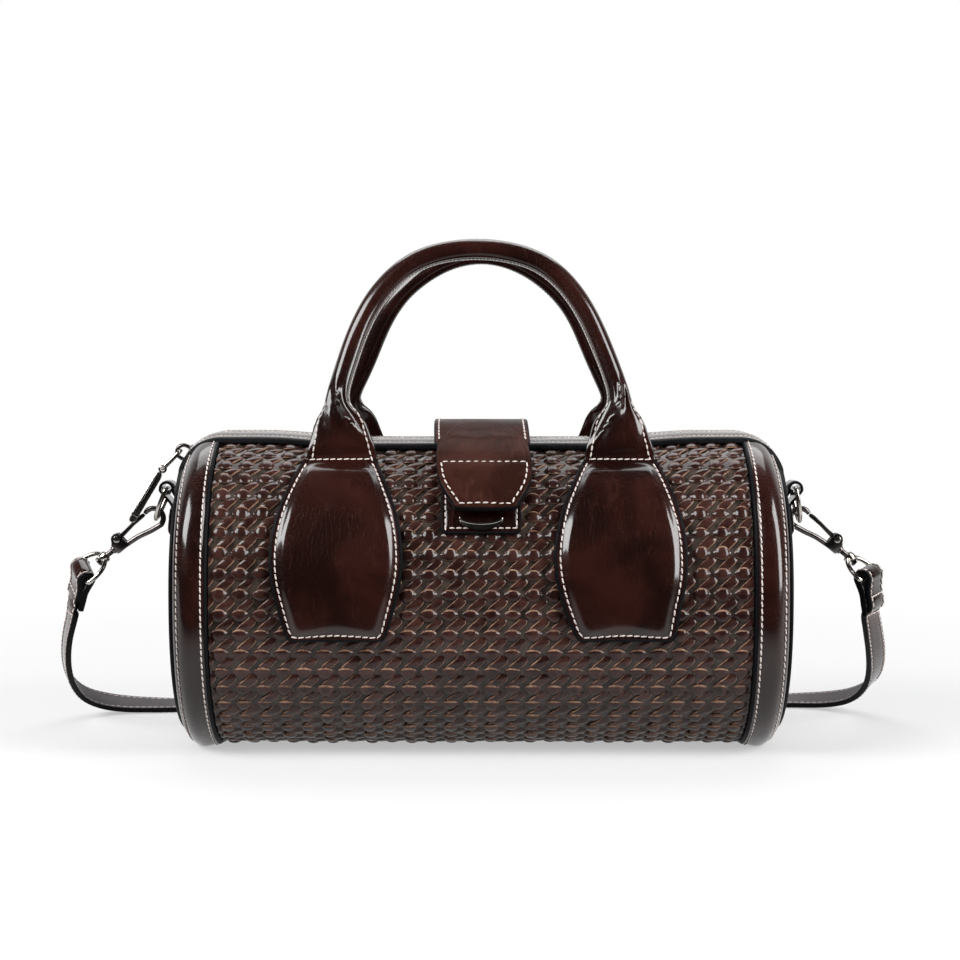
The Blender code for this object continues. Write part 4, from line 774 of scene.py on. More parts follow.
def barrel_normal(point):
    """Outward direction of the barrel at a point near its surface."""
    across = point.y / HALF_DEPTH
    up = (point.z - AXIS_HEIGHT) / TOP_RISE
    power = ROUNDNESS - 1.0
    away = Vector((0.0, math.copysign(abs(across) ** power, across), math.copysign(abs(up) ** power, up)))
    return away.normalized()


# Woven body
def weave_point(x, around, lift):
    """Place on the barrel at a distance round it; where the bag stands, only the highest strands touch."""
    settings = bpy.context.scene.bag_weave
    angle = angle_around(min(max(around, 0.0), AROUND_LENGTH))
    return section_point(x, angle, lift, floor=max(0.0, settings.hump_lift - lift))


# A cell of the weave: half width of the threaded strip and its height, by distance from the hump's middle
HUMP_OUTLINE = ((0.0, 1.0), (0.12, 0.97), (0.22, 0.84), (0.30, 0.62), (0.36, 0.44), (0.42, 0.36), (0.5, 0.34))
HUMP_RISE = ((0.0, 1.0), (0.16, 0.93), (0.26, 0.70), (0.34, 0.34), (0.42, 0.08), (0.5, 0.0))
STRIP_PROFILE = ((-1.0, -0.75), (-0.97, -0.30), (-0.74, -0.04), (-0.30, 0.16), (0.30, 0.16), (0.80, -0.05),
                 (0.97, -0.25), (1.0, -0.75))


def add_threaded_strip(shape, settings, around, row):
    """The strip threaded along the bag: it swells into a hump in each cell and is pinched between."""
    columns = settings.columns
    pitch = 2.0 * WOVEN_HALF_LENGTH / columns
    steps = 10

    def place(u, v):
        cell = u * columns
        share = abs(cell - math.floor(cell + 1e-6) - 0.5)
        chance = noise.cell(Vector((math.floor(cell + 1e-6) + 0.5, row + 0.5, 0.5)))
        across, drop = STRIP_PROFILE[round(v * (len(STRIP_PROFILE) - 1))]
        half = 0.5 * settings.hump_height * interpolate(HUMP_OUTLINE, share) * (0.93 + 0.14 * chance)
        rise = interpolate(HUMP_RISE, share) * (0.84 + 0.16 * chance)
        lift = settings.dip_lift + (settings.hump_lift - settings.dip_lift) * rise + (drop - 0.16) * MM
        x = min(max(-WOVEN_HALF_LENGTH + cell * pitch, -WOVEN_HALF_LENGTH), WOVEN_HALF_LENGTH)
        sway = 0.30 * MM * noise.noise(Vector((x * 40.0, row * 1.7, 0.0)))
        return weave_point(x, around + across * half + sway, lift)

    def slots(u, v):
        return RIM if v < 0.26 or v > 0.82 else FACE

    add_sheet(shape, columns * steps, len(STRIP_PROFILE) - 1, place, slots)


def add_window(shape, settings, upper, lower):
    """The flat strip seen behind the diagonal strands."""
    columns = settings.columns * 2

    def place(u, v):
        x = WOVEN_HALF_LENGTH * (2.0 * u - 1.0)
        wave = 0.18 * MM * math.sin(math.pi * u * columns)
        return weave_point(x, upper + (lower - upper) * v, settings.window_lift + wave)

    add_sheet(shape, columns, 1, place, INSIDE)


# A strand's way between two rows, up out of a dip and in under the next hump:
# rows climbed, columns moved, width in columns, height in millimetres
STRAND_WAY = ((0.10, 0.00, 0.38, -1.0), (0.20, 0.05, 0.50, -0.55), (0.30, 0.13, 0.54, -0.05),
              (0.42, 0.25, 0.55, 0.15), (0.56, 0.40, 0.54, 0.15), (0.68, 0.51, 0.50, -0.05),
              (0.78, 0.57, 0.42, -0.60), (0.90, 0.60, 0.36, -1.0))
STRAND_PROFILE = ((-1.0, -0.70), (-0.98, -0.25), (-0.84, 0.0), (0.0, 0.14), (0.84, 0.0), (0.98, -0.25),
                  (1.0, -0.70))


def add_strand(shape, settings, around, x_start, chance):
    """A leaning strand between two rows: out of a dip, up and in under the next hump."""
    pitch = 2.0 * WOVEN_HALF_LENGTH / settings.columns
    last = len(STRAND_WAY) - 1

    def place(u, v):
        climbed, moved, width, raised = STRAND_WAY[round(u * last)]
        across, drop = STRAND_PROFILE[round(v * (len(STRAND_PROFILE) - 1))]
        half = 0.5 * settings.strand_width * width * pitch * (0.94 + 0.12 * chance)
        x = x_start + (moved * settings.strand_lean + 0.03 * (chance - 0.5)) * pitch + across * half
        lift = settings.strand_lift + (raised + drop + 0.25 * (chance - 0.5)) * MM
        place_x = min(max(x, -WOVEN_HALF_LENGTH), WOVEN_HALF_LENGTH)
        return weave_point(place_x, around - climbed * settings.row_pitch + 0.25 * across * half, lift)

    def slots(u, v):
        climbed = STRAND_WAY[min(int(u * last), last)][0]
        bare = 0.10 < climbed < 0.80
        return RIM if bare and (v < 0.30 or v > 0.70) else FACE

    add_sheet(shape, last, len(STRAND_PROFILE) - 1, place, slots)


def add_backing(shape, settings):
    """The closed skin behind the weave, turned in along the mouth."""

    def place(u, v):
        return weave_point(WOVEN_HALF_LENGTH * (2.0 * u - 1.0), AROUND_LENGTH * v, settings.backing_lift)

    add_sheet(shape, 26, 96, place, INSIDE)


class BAG_OT_woven_body(bpy.types.Operator):
    """Threaded strips, diagonal strands and the skin behind them, round front, bottom and back"""

    bl_idname = "bag.woven_body"
    bl_label = "Woven Body"

    def execute(self, context):
        settings = context.scene.bag_weave
        pitch = 2.0 * WOVEN_HALF_LENGTH / settings.columns
        rows = int((AROUND_LENGTH - settings.first_row) / settings.row_pitch) + 1
        shape = bmesh.new()
        strands = bmesh.new()
        for row in range(-1, rows + 3):
            around = settings.first_row + row * settings.row_pitch
            below = around + settings.row_pitch
            if row <= rows:
                add_window(shape, settings, max(around, 0.0), min(below, AROUND_LENGTH))
            if 0.0 < around < AROUND_LENGTH:
                add_threaded_strip(shape, settings, around, row)
            for column in range(-1, settings.columns):
                chance = noise.cell(Vector((column + 0.5, row + 0.5, 7.5)))
                add_strand(strands, settings, around, -WOVEN_HALF_LENGTH + (column + 0.5) * pitch, chance)
        add_backing(shape, settings)
        for name, layer in (("woven_body", shape), ("woven_strands", strands)):
            bmesh.ops.remove_doubles(layer, verts=layer.verts, dist=WELD)
            layer.normal_update()
            finish_piece(layer, name, ("woven leather", "raw edge", "window strip"), "bag", ("woven_panel",),
                         inside=barrel_axis, smooth=50.0)
        return {"FINISHED"}


# End bands and domed ends: distance across the band and height, in millimetres, and material
BAND_PROFILE = ((0.0, -1.9, RIM), (0.15, -0.5, RIM), (0.45, 0.35, RIM), (0.95, 0.75, RIM),
                (1.45, 0.85, RIM), (1.75, 0.86, FACE), (2.3, 0.84, FACE), (2.8, 0.66, FACE),
                (3.15, 0.52, FACE), (3.5, 0.66, FACE), (4.1, 0.95, FACE), (5.5, 1.30, FACE),
                (7.5, 1.62, FACE), (9.5, 1.72, FACE), (11.5, 1.55, FACE), (13.0, 1.20, FACE),
                (13.8, 0.85, FACE), (14.3, 0.62, FACE), (14.7, 0.52, FACE), (15.1, 0.66, FACE),
                (15.7, 0.78, FACE), (16.4, 0.55, FACE), (17.0, 0.0, FACE), (17.35, -1.0, FACE),
                (17.5, -2.2, FACE))
BAND_START = WOVEN_HALF_LENGTH + 0.0003
BAND_STITCHES = (3.15, 14.7)


def band_sag(x, angle):
    """Soft unevenness of the padded band, in metres."""
    rough = noise.noise(Vector((x * 60.0, angle * 0.045, 2.0)))
    fine = noise.noise(Vector((x * 160.0, angle * 0.16, 5.0)))
    return 0.35 * MM * rough + 0.12 * MM * fine


def make_band(name, side):
    """One end band: painted inner edge, two sewn grooves and a padded middle."""
    last = len(BAND_PROFILE) - 1

    def place(u, v):
        run, lift, _ = BAND_PROFILE[round(u * last)]
        angle = wrap_angle(v)
        x = BAND_START + run * MM
        padded = smoothstep(0.8, 1.3, lift)
        raised = lift * MM + padded * band_sag(x, angle)
        floor = max(0.0, 1.7 * MM - raised) if lift > 0.0 else 0.0
        return section_point(side * x, angle, raised, floor=min(floor, 1.2 * MM))

    def slots(u, v):
        return BAND_PROFILE[min(int(u * last), last - 1)][2]

    shape = bmesh.new()
    add_sheet(shape, last, 130, place, slots)
    shape.normal_update()
    band = finish_piece(shape, name, ("glazed leather", "edge paint"), "bag", (name.replace("_leather", ""),),
                        inside=barrel_axis)
    wall(band, 1.0 * MM)


def add_band_stitches(shape, side):
    for run in BAND_STITCHES:
        x = side * (BAND_START + run * MM)
        route = [section_point(x, wrap_angle(step / 240.0), 0.55 * MM, floor=0.5 * MM) for step in range(241)]
        add_stitches(shape, route, barrel_normal)


class BAG_OT_end_bands(bpy.types.Operator):
    """Padded leather band at each end, with two sewn rows and a painted inner edge"""

    bl_idname = "bag.end_bands"
    bl_label = "End Bands"

    def execute(self, context):
        threads = bmesh.new()
        for name, side in (("left_end_band", -1.0), ("right_end_band", 1.0)):
            make_band(name + "_leather", side)
            add_band_stitches(threads, side)
        finish_piece(threads, "end_band_stitching", ("thread",), "bag")
        return {"FINISHED"}


def make_domed_end(name, side):
    """Slightly domed leather end, rippled a little by use."""

    def place(u, v):
        share = 0.02 + 0.98 * v
        rim = section_point(BAND_END, -360.0 * u * side, -PANEL_RIM_INSET)
        y = rim.y * share
        z = AXIS_HEIGHT + (rim.z - AXIS_HEIGHT) * share
        ripple = 0.25 * MM * noise.noise(Vector((y * 45.0, z * 45.0, side)))
        return Vector((side * (dome_x(y, z) + ripple * (1.0 - share ** 6)), y, z))

    shape = bmesh.new()
    add_sheet(shape, 120, 26, place, FACE, WELD_FINEST)
    hub = [edge for edge in shape.edges if edge.is_boundary and edge.calc_length() < 0.0012]
    bmesh.ops.holes_fill(shape, edges=hub, sides=0)
    shape.normal_update()
    panel = finish_piece(shape, name + "_leather", ("glazed leather", "edge paint"), "bag", (name,),
                         inside=lambda point: Vector((0.0, point.y, point.z)))
    wall(panel, 1.5 * MM)


def piping_route(side, inset, x, reach):
    edge = mouth_angle(reach, half_depth(BAND_END) - inset)
    points = [section_point(BAND_END, wrap_angle(step / 200.0, edge), -inset) for step in range(201)]
    return [Vector((side * x, point.y, point.z)) for point in points]


class BAG_OT_domed_ends(bpy.types.Operator):
    """Domed end panels and the painted piping in their seam"""

    bl_idname = "bag.domed_ends"
    bl_label = "Domed Ends"

    def execute(self, context):
        for name, side in (("left", -1.0), ("right", 1.0)):
            make_domed_end(name + "_end_panel", side)
            shape = bmesh.new()
            route = piping_route(side, 0.0021, BAND_END + 0.0004, 0.0272)
            add_tube(shape, route, 0.00125, 12)
            finish_piece(shape, name + "_piping", ("edge paint",), "bag", (name + "_end_piping",))
        return {"FINISHED"}


# Zipped top
GUSSET_LIFT = 0.0003


def gusset_stations(fine):
    """Rising stations from the left foot to the right foot."""
    flat = [WOVEN_HALF_LENGTH * step / 22.0 for step in range(1, 23)]
    arc = [WOVEN_HALF_LENGTH + (ARC_END - WOVEN_HALF_LENGTH) * step / fine for step in range(1, fine + 1)]
    eased = [1.0 - math.cos(math.pi * step / 16.0) for step in range(1, 9)]
    end = [ARC_END + (SLOT_CLOSED - ARC_END) * share for share in eased]
    foot = [SLOT_CLOSED + (FOOT_STATION - SLOT_CLOSED) * step / 3.0 for step in range(1, 4)]
    half = flat + arc + end + foot
    return [-value for value in reversed(half)] + [0.0] + half


# Share of the strip's width from the zip, height in millimetres, material
GUSSET_PROFILE = ((0.0, -0.1, FACE), (0.02, 0.75, FACE), (0.06, 1.45, FACE), (0.12, 1.70, FACE),
                  (0.17, 1.50, FACE), (0.22, 1.72, FACE), (0.45, 1.85, FACE), (0.66, 1.75, FACE),
                  (0.71, 1.50, FACE), (0.76, 1.75, FACE), (0.84, 1.80, FACE), (0.88, 1.85, RIM),
                  (0.93, 1.70, RIM), (0.975, 1.10, RIM), (1.0, 0.2, RIM), (1.0, -0.5, RIM))
GUSSET_STITCHES = (0.17, 0.71)


def gusset_y(station, side, share):
    """Depth of a place between the zip, at share 0, and the strip's outer edge, at 1."""
    inner = slot_half(station)
    return side * (inner + (GUSSET_EDGE - inner) * share)


def make_gusset_strip(name, side):
    """One strip beside the zip, with a thick painted outer edge that runs over both shoulders."""
    stations = gusset_stations(18)
    last = len(GUSSET_PROFILE) - 1

    def place(u, v):
        station = stations[round(u * (len(stations) - 1))]
        share, lift, _ = GUSSET_PROFILE[round(v * last)]
        y = gusset_y(station, side, share)
        ripple = 0.14 * MM * noise.noise(Vector((station * 70.0, y * 120.0, 3.0)))
        return top_point(station, y, GUSSET_LIFT + lift * MM + ripple * smoothstep(0.0, 0.5, lift))

    def slots(u, v):
        return GUSSET_PROFILE[min(int(v * last), last - 1)][2]

    shape = bmesh.new()
    add_sheet(shape, len(stations) - 1, last, place, slots)
    shape.normal_update()
    strip = finish_piece(shape, name + "_leather", ("glazed leather", "edge paint"), "bag", (name,),
                         inside=lambda point: Vector((0.8 * point.x, 0.0, 0.09)))
    wall(strip, 0.0006)


def add_gusset_stitches(shape, side):
    for share in GUSSET_STITCHES:
        route = []
        count = 260
        for step in range(count + 1):
            station = -SLOT_CLOSED + 2.0 * SLOT_CLOSED * step / count
            route.append(top_point(station, gusset_y(station, side, share), GUSSET_LIFT + 0.0015))
        add_stitches(shape, route, shoulder_normal, 0.7, 0.5)


def shoulder_normal(point):
    reach = max(0.0, abs(point.x) - WOVEN_HALF_LENGTH)
    return Vector((math.copysign(reach, point.x), 0.0, max(point.z - ARC_CENTRE_Z, 0.0005))).normalized()


class BAG_OT_zip_gusset(bpy.types.Operator):
    """Front and back leather strips of the zipped top, sewn in two rows each"""

    bl_idname = "bag.zip_gusset"
    bl_label = "Zip Gusset"

    def execute(self, context):
        threads = bmesh.new()
        for name, side in (("front_gusset_strip", -1.0), ("back_gusset_strip", 1.0)):
            make_gusset_strip(name, side)
            add_gusset_stitches(threads, side)
        finish_piece(threads, "gusset_stitching", ("thread",), "bag")
        return {"FINISHED"}


TAPE_EDGE = 0.0016
TAPE_WIDTH = 0.0114
TOOTH_SIZE = (0.00115, 0.0036, 0.00125)
STOP_SIZE = (0.0022, 0.0052, 0.0015)


def make_zip_tape(name, side):
    """One tape of the zip, from under a gusset strip to the row of teeth."""

    def place(u, v):
        return top_point(ZIP_END * (2.0 * u - 1.0), side * (TAPE_EDGE + TAPE_WIDTH * v), -0.0002)

    shape = bmesh.new()
    add_sheet(shape, 120, 8, place)
    shape.normal_update()
    tape = finish_piece(shape, name + "_cloth", ("tape",), "bag", (name,),
                        inside=lambda point: Vector((0.8 * point.x, 0.0, 0.09)))
    wall(tape, 0.0005)


def add_tooth(shape, station, side):
    """One tooth, a small bar with worn edges that lies across its tape and past the middle."""
    here = top_point(station, side * TAPE_EDGE, 0.0011)
    after = top_point(station + 0.0005, side * TAPE_EDGE, 0.0011)
    along = (after - here).normalized()
    across = Vector((0.0, -side, 0.0))
    up = along.cross(Vector((0.0, 1.0, 0.0)))
    if up.z < -0.2 or (abs(up.z) <= 0.2 and up.x * station < 0.0):
        up = -up
    add_box(shape, placed(here, along, across, up), TOOTH_SIZE, bevel=0.00028)


class BAG_OT_zip_chain(bpy.types.Operator):
    """Tapes, two rows of meshing metal teeth and the end stops"""

    bl_idname = "bag.zip_chain"
    bl_label = "Zip Chain"

    def execute(self, context):
        pitch = context.scene.bag_hardware.tooth_pitch
        count = int(ZIP_END / pitch) * 2
        for name, side in (("front", -1.0), ("back", 1.0)):
            make_zip_tape("zip_tape_" + name, side)
            shape = bmesh.new()
            for number in range(count):
                station = (number - 0.5 * count + 0.25 + 0.25 * side) * pitch
                add_tooth(shape, station, side)
            finish_piece(shape, "zip_teeth_" + name + "_metal", ("nickel",), "bag", ("zip_teeth_" + name,))
        for name, side in (("left_zip_stop", -1.0), ("right_zip_stop", 1.0)):
            station = side * (ZIP_END + 0.0015)
            here = top_point(station, 0.0, 0.001)
            after = top_point(station + 0.0004, 0.0, 0.001)
            along = (after - here).normalized()
            across = Vector((0.0, 1.0, 0.0))
            shape = bmesh.new()
            matrix = placed(here, along, across, along.cross(across))
            add_box(shape, matrix, STOP_SIZE, bevel=0.0004, segments=2)
            finish_piece(shape, name + "_metal", ("nickel",), "bag", (name,))
        return {"FINISHED"}


# Zip slider and pull
SLIDER_ANGLE = math.radians(64.0)
PULL_EYE_RADIUS = 0.00165


def joint_place(name):
    """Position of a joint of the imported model."""
    return Vector(next(joint for joint in frame["joints"] if joint["name"] == name)["pos_m"])


def slider_matrix():
    """Slider's own frame: X across the teeth, Y away from them, Z along them up the shoulder."""
    outward = Vector((-math.sin(SLIDER_ANGLE), 0.0, math.cos(SLIDER_ANGLE)))
    along = Vector((math.cos(SLIDER_ANGLE), 0.0, math.sin(SLIDER_ANGLE)))
    seat = Vector((-WOVEN_HALF_LENGTH, 0.0, ARC_CENTRE_Z)) + TOP_SHOULDER_RADIUS * outward
    return placed(seat, outward.cross(along), outward, along)


class BAG_OT_zip_slider(bpy.types.Operator):
    """Slider with its bail, the chain link and the long pull bar"""

    bl_idname = "bag.zip_slider"
    bl_label = "Zip Slider and Pull"

    def execute(self, context):
        self.make_slider()
        self.make_link()
        self.make_bar()
        return {"FINISHED"}

    def make_slider(self):
        matrix = slider_matrix()
        shape = bmesh.new()
        outline = ((-0.0039, -0.0050), (0.0039, -0.0050), (0.0041, -0.0020), (0.0034, 0.0044),
                   (0.0022, 0.0052), (-0.0022, 0.0052), (-0.0034, 0.0044), (-0.0041, -0.0020))
        plate = Matrix.Translation((0.0, 0.00265, 0.0)) @ Matrix.Rotation(math.radians(90.0), 4, "X")
        add_plate(shape, outline, 0.0010, matrix @ plate, bevel=0.0003)
        for sign in (-1.0, 1.0):
            flange = Matrix.Translation((sign * 0.0035, 0.0016, 0.0))
            add_box(shape, matrix @ flange, (0.0008, 0.0022, 0.0088))
        route = [Vector((0.0, 0.0028, -0.0034))]
        for step in range(13):
            turn = math.pi * step / 12.0
            route.append(Vector((0.0, 0.0052 + 0.0034 * math.sin(turn), -0.0034 * math.cos(turn))))
        route.append(Vector((0.0, 0.0028, 0.0034)))
        add_tube(shape, [matrix @ point for point in route], 0.0010, 12)
        finish_piece(shape, "zip_slider_metal", ("dark nickel",), "zip_slider", ("zip_slider",))

    def make_link(self):
        hang = joint_place("link_swing")
        eye = joint_place("bar_swing")
        down = (eye - hang).normalized()
        length = (eye - hang).length
        bend = 0.0024
        route = []
        for centre, start in ((bend, 0.0), (length - bend, math.pi)):
            for step in range(11):
                turn = start + math.pi * step / 10.0
                sideways = Vector((0.0, bend * math.cos(turn), 0.0))
                route.append(hang + down * (centre - bend * math.sin(turn)) - sideways)
        shape = bmesh.new()
        add_tube(shape, route, 0.0009, 12, cyclic=True)
        finish_piece(shape, "zip_pull_link_metal", ("nickel",), "zip_link", ("zip_pull_link",))

    def make_bar(self):
        eye = joint_place("bar_swing")
        lean = math.radians(30.5)
        tilt = math.sin(math.radians(5.5))
        up = Vector((math.sin(lean), tilt, math.cos(lean))).normalized()
        across = Vector((up.z, 0.0, -up.x)).normalized()
        matrix = placed(eye, across, up, across.cross(up))
        shape = bmesh.new()
        turns = [math.tau * step / 20 for step in range(20)]
        ring = [Vector((PULL_EYE_RADIUS * math.cos(turn), PULL_EYE_RADIUS * math.sin(turn), 0.0))
                for turn in turns]
        add_tube(shape, [matrix @ point for point in ring], 0.00055, 10, cyclic=True)
        outline = ((-0.0009, -0.0021), (0.0009, -0.0021), (0.0015, -0.0034), (0.0018, -0.0052),
                   (0.0018, -0.0290), (0.0014, -0.0304), (0.0007, -0.0310), (-0.0007, -0.0310),
                   (-0.0014, -0.0304), (-0.0018, -0.0290), (-0.0018, -0.0052), (-0.0015, -0.0034))
        add_plate(shape, outline, 0.0018, matrix, bevel=0.0004)
        inlay = ((-0.0007, -0.0050), (0.0007, -0.0050), (0.0007, -0.0258), (-0.0007, -0.0258))
        add_plate(shape, inlay, 0.00195, matrix, RIM, 0.0001)
        collar = ((-0.0020, -0.0262), (0.0020, -0.0262), (0.0020, -0.0274), (-0.0020, -0.0274))
        add_plate(shape, collar, 0.0021, matrix, bevel=0.0003)
        finish_piece(shape, "zip_pull_bar_metal", ("nickel", "dark nickel"), "zip_bar", ("zip_pull_bar",))


# Handle patches: distance in from the edge, height over the leather, material
PATCH_RIM = ((0.0, -0.6, RIM), (0.02, 1.2, RIM), (0.12, 2.2, RIM), (0.45, 2.9, RIM), (1.0, 3.12, RIM),
             (1.6, 3.15, FACE), (2.3, 3.12, FACE), (2.7, 2.95, FACE), (3.1, 2.84, FACE), (3.5, 2.95, FACE),
             (4.3, 3.20, FACE), (5.2, 3.65, FACE), (6.1, 4.18, FACE), (6.9, 4.52, FACE), (7.7, 4.66, FACE),
             (9.0, 4.72, FACE))
PATCH_SHARES = (0.3, 0.62, 1.0)
PATCH_CROWN = 4.85
PATCH_STITCH_INSET = 3.1
PATCH_STITCH_LIFT = 2.75
# Half width of a patch at a height, in millimetres
PATCH_HALF = ((17.6, 141.0), (22.75, 131.0), (27.0, 121.0), (30.0, 110.0), (31.2, 99.0), (30.5, 88.0),
              (27.75, 76.0), (25.0, 66.0), (23.9, 62.6), (22.4, 60.3), (19.6, 59.5), (10.0, 59.5))
PATCH_SPINE_LOW = PATCH_BOTTOM + 0.020
# Height, and how far the bowed patches are shifted along X there
PATCH_BOW = ((0.0595, 0.0), (0.066, -0.0010), (0.076, -0.0020), (0.099, -0.0026), (0.120, -0.0022),
             (0.141, -0.0010))


def patch_edge():
    """Edge of a patch from its top left, down and round to its top right, x from its middle."""
    left = [Vector((-x * MM, 0.0, z * MM)) for x, z in PATCH_HALF]
    right = [Vector((-point.x, 0.0, point.z)) for point in reversed(left)]
    return smooth_route(left + [Vector((0.0, 0.0, PATCH_BOTTOM))] + right, 5)


def inward_spot(edge, spine, row, rims, shares, crown):
    """Place and height, in millimetres, of one row of a sewn piece, counted in from its edge."""
    inward = spine - edge
    if row < len(rims):
        run, height, _ = rims[row]
        return edge + inward.normalized() * run * MM, height
    share = shares[row - len(rims)]
    start = rims[-1][0] * MM
    height = rims[-1][1] + (crown - rims[-1][1]) * share
    return edge + inward.normalized() * (start + (inward.length - start) * share), height


def patch_spine(edge):
    return Vector((0.0, 0.0, max(edge.z, PATCH_SPINE_LOW)))


def patch_spot(edge, row):
    """Row of the patch, whose padding runs out before the stitch line across its top."""
    spot, lift = inward_spot(edge, patch_spine(edge), row, PATCH_RIM, PATCH_SHARES, PATCH_CROWN)
    above = max(0.0, lift - PATCH_STITCH_LIFT - 0.3)
    lift = min(lift, PATCH_STITCH_LIFT + 0.3) + above * (1.0 - smoothstep(0.1345, 0.1398, spot.z))
    return spot, lift * MM


def make_patch(name, end, side):
    """Padded vase-shaped patch with a painted edge and a sewn groove.

    The front right and the back left one are bowed a little towards -X.
    """
    edge = patch_edge()
    rows = len(PATCH_RIM) + len(PATCH_SHARES) - 1
    centre = end * HANDLE_HALF_SPAN
    bowed = end * side > 0.0

    def on_front(spot, lift):
        x = centre + spot.x + (interpolate(PATCH_BOW, spot.z) if bowed else 0.0)
        crumple = 0.16 * MM * noise.noise(Vector((x * 70.0, spot.z * 60.0, 9.0 * side)))
        return turned(patch_point(x, spot.z, lift + crumple * smoothstep(0.0030, 0.0042, lift)), side)

    def place(u, v):
        spot, lift = patch_spot(edge[round(u * (len(edge) - 1))], round(v * rows))
        return on_front(spot, lift)

    def slots(u, v):
        return PATCH_RIM[min(int(v * rows), len(PATCH_RIM) - 1)][2]

    shape = bmesh.new()
    add_sheet(shape, len(edge) - 1, rows, place, slots, WELD)
    shape.normal_update()
    leather = finish_piece(shape, name + "_leather", ("glazed leather", "edge paint"), "bag",
                           (name, name + "_backing"), inside=lambda point: Vector((point.x, 0.0, point.z)))

    threads = bmesh.new()
    inset = [point + (patch_spine(point) - point).normalized() * PATCH_STITCH_INSET * MM for point in edge]
    top = [inset[0].lerp(inset[-1], step / 12.0) for step in range(13)]
    for line in (inset, top):
        line = line[1:-1] if line is inset else line
        route = [on_front(spot, PATCH_STITCH_LIFT * MM) for spot in line]
        above = [on_front(spot, (PATCH_STITCH_LIFT + 0.1) * MM) for spot in line]
        normals = [(high - low).normalized() for low, high in zip(route, above)]
        add_stitches(threads, route, normals)
    finish_piece(threads, name + "_stitching", ("thread",), "bag")


# Middle line of each rolled handle from its foot up to its top, as distance out and height in millimetres
BACK_HALF = ((66.6, 140.4), (66.8, 147.0), (67.3, 155.0), (68.0, 162.0), (68.9, 168.5), (68.4, 172.5),
             (66.0, 177.0), (63.0, 182.6), (57.8, 193.2), (51.6, 210.4), (44.3, 221.6), (35.0, 231.4),
             (18.6, 242.4))
HANDLE_LINES = {
    "front": (((66.6, 140.4), (66.8, 147.0), (67.3, 155.0), (68.0, 162.0), (68.9, 168.5), (69.0, 172.5),
               (68.4, 176.3), (66.3, 183.5), (63.8, 191.6), (61.5, 199.2), (58.4, 206.8), (54.9, 214.3),
               (50.4, 221.7), (44.1, 229.3), (36.0, 236.7), (27.3, 242.3)),
              (-2.6, 248.0),
              ((66.4, 140.4), (66.2, 147.0), (66.0, 155.0), (66.1, 162.0), (66.6, 168.5), (66.5, 172.5),
               (65.7, 176.3), (63.3, 183.5), (60.4, 191.3), (57.4, 198.9), (54.1, 206.6), (50.4, 214.3),
               (45.9, 221.9), (40.0, 229.3), (31.8, 236.8), (23.2, 242.2))),
    "back": (BACK_HALF, (0.0, 247.0), BACK_HALF),
}
CORE_RADIUS = 0.0038
NECK_WIDTHS = ((0.1404, 35.4), (0.145, 33.2), (0.149, 31.6), (0.1536, 28.6), (0.1590, 25.4),
               (0.1630, 21.4), (0.1665, 16.0), (0.1695, 12.9), (0.173, 11.5), (0.178, 10.7), (0.185, 10.5))
NECK_FOOT_LIFT = 0.0017
NECK_HALF_THICKNESS = 0.00148
NECK_BULGE = 0.0034
HANDLE_SIDES = 48
SEAM_TURN = math.radians(40.0)
SEAM_STITCH_TURN = math.radians(12.0)
LINE_PASSES = 45


def handle_centre(x, z):
    if z >= HINGE_HEIGHT:
        return Vector((x, handle_depth(z), z))
    lift = NECK_FOOT_LIFT + (NECK_MIDDLE - NECK_FOOT_LIFT) * smoothstep(PATCH_TOP, HINGE_HEIGHT, z)
    return Vector((x, patch_point(x, z, lift).y, z))


def handle_line(row):
    """Middle of a handle from its left patch over to its right one."""
    left, top, right = HANDLE_LINES[row]
    knots = [(-x, z) for x, z in left] + [top] + list(reversed(right))
    route = smooth_route([Vector((x * MM, 0.0, z * MM)) for x, z in knots], 6 if row == "back" else 5)
    for _ in range(LINE_PASSES):
        route[1:-1] = [0.25 * before + 0.5 * here + 0.25 * after
                       for before, here, after in zip(route, route[1:], route[2:])]
    return [handle_centre(point.x, point.z) for point in route]


def neck_folds(across, z, end):
    """Creases of the gathered neck: a hollow over the stitch line and folds that run into the tube."""
    hollow = -0.0015 * math.exp(-((z - 0.1452) / 0.0024) ** 2) * (1.0 - across ** 4)
    gathered = smoothstep(0.146, 0.156, z) * (1.0 - smoothstep(0.170, 0.182, z))
    ridge_at = 0.78 - 0.86 * (z - 0.150) / 0.022
    ridge = 0.0023 * math.exp(-((across - ridge_at) / 0.16) ** 2)
    valley = -0.0013 * math.exp(-((across - ridge_at + 0.42) / 0.18) ** 2)
    pleats = 0.00040 * math.cos(11.0 * across + 2.0 * end + 150.0 * z)
    return hollow + gathered * (ridge + valley + pleats)


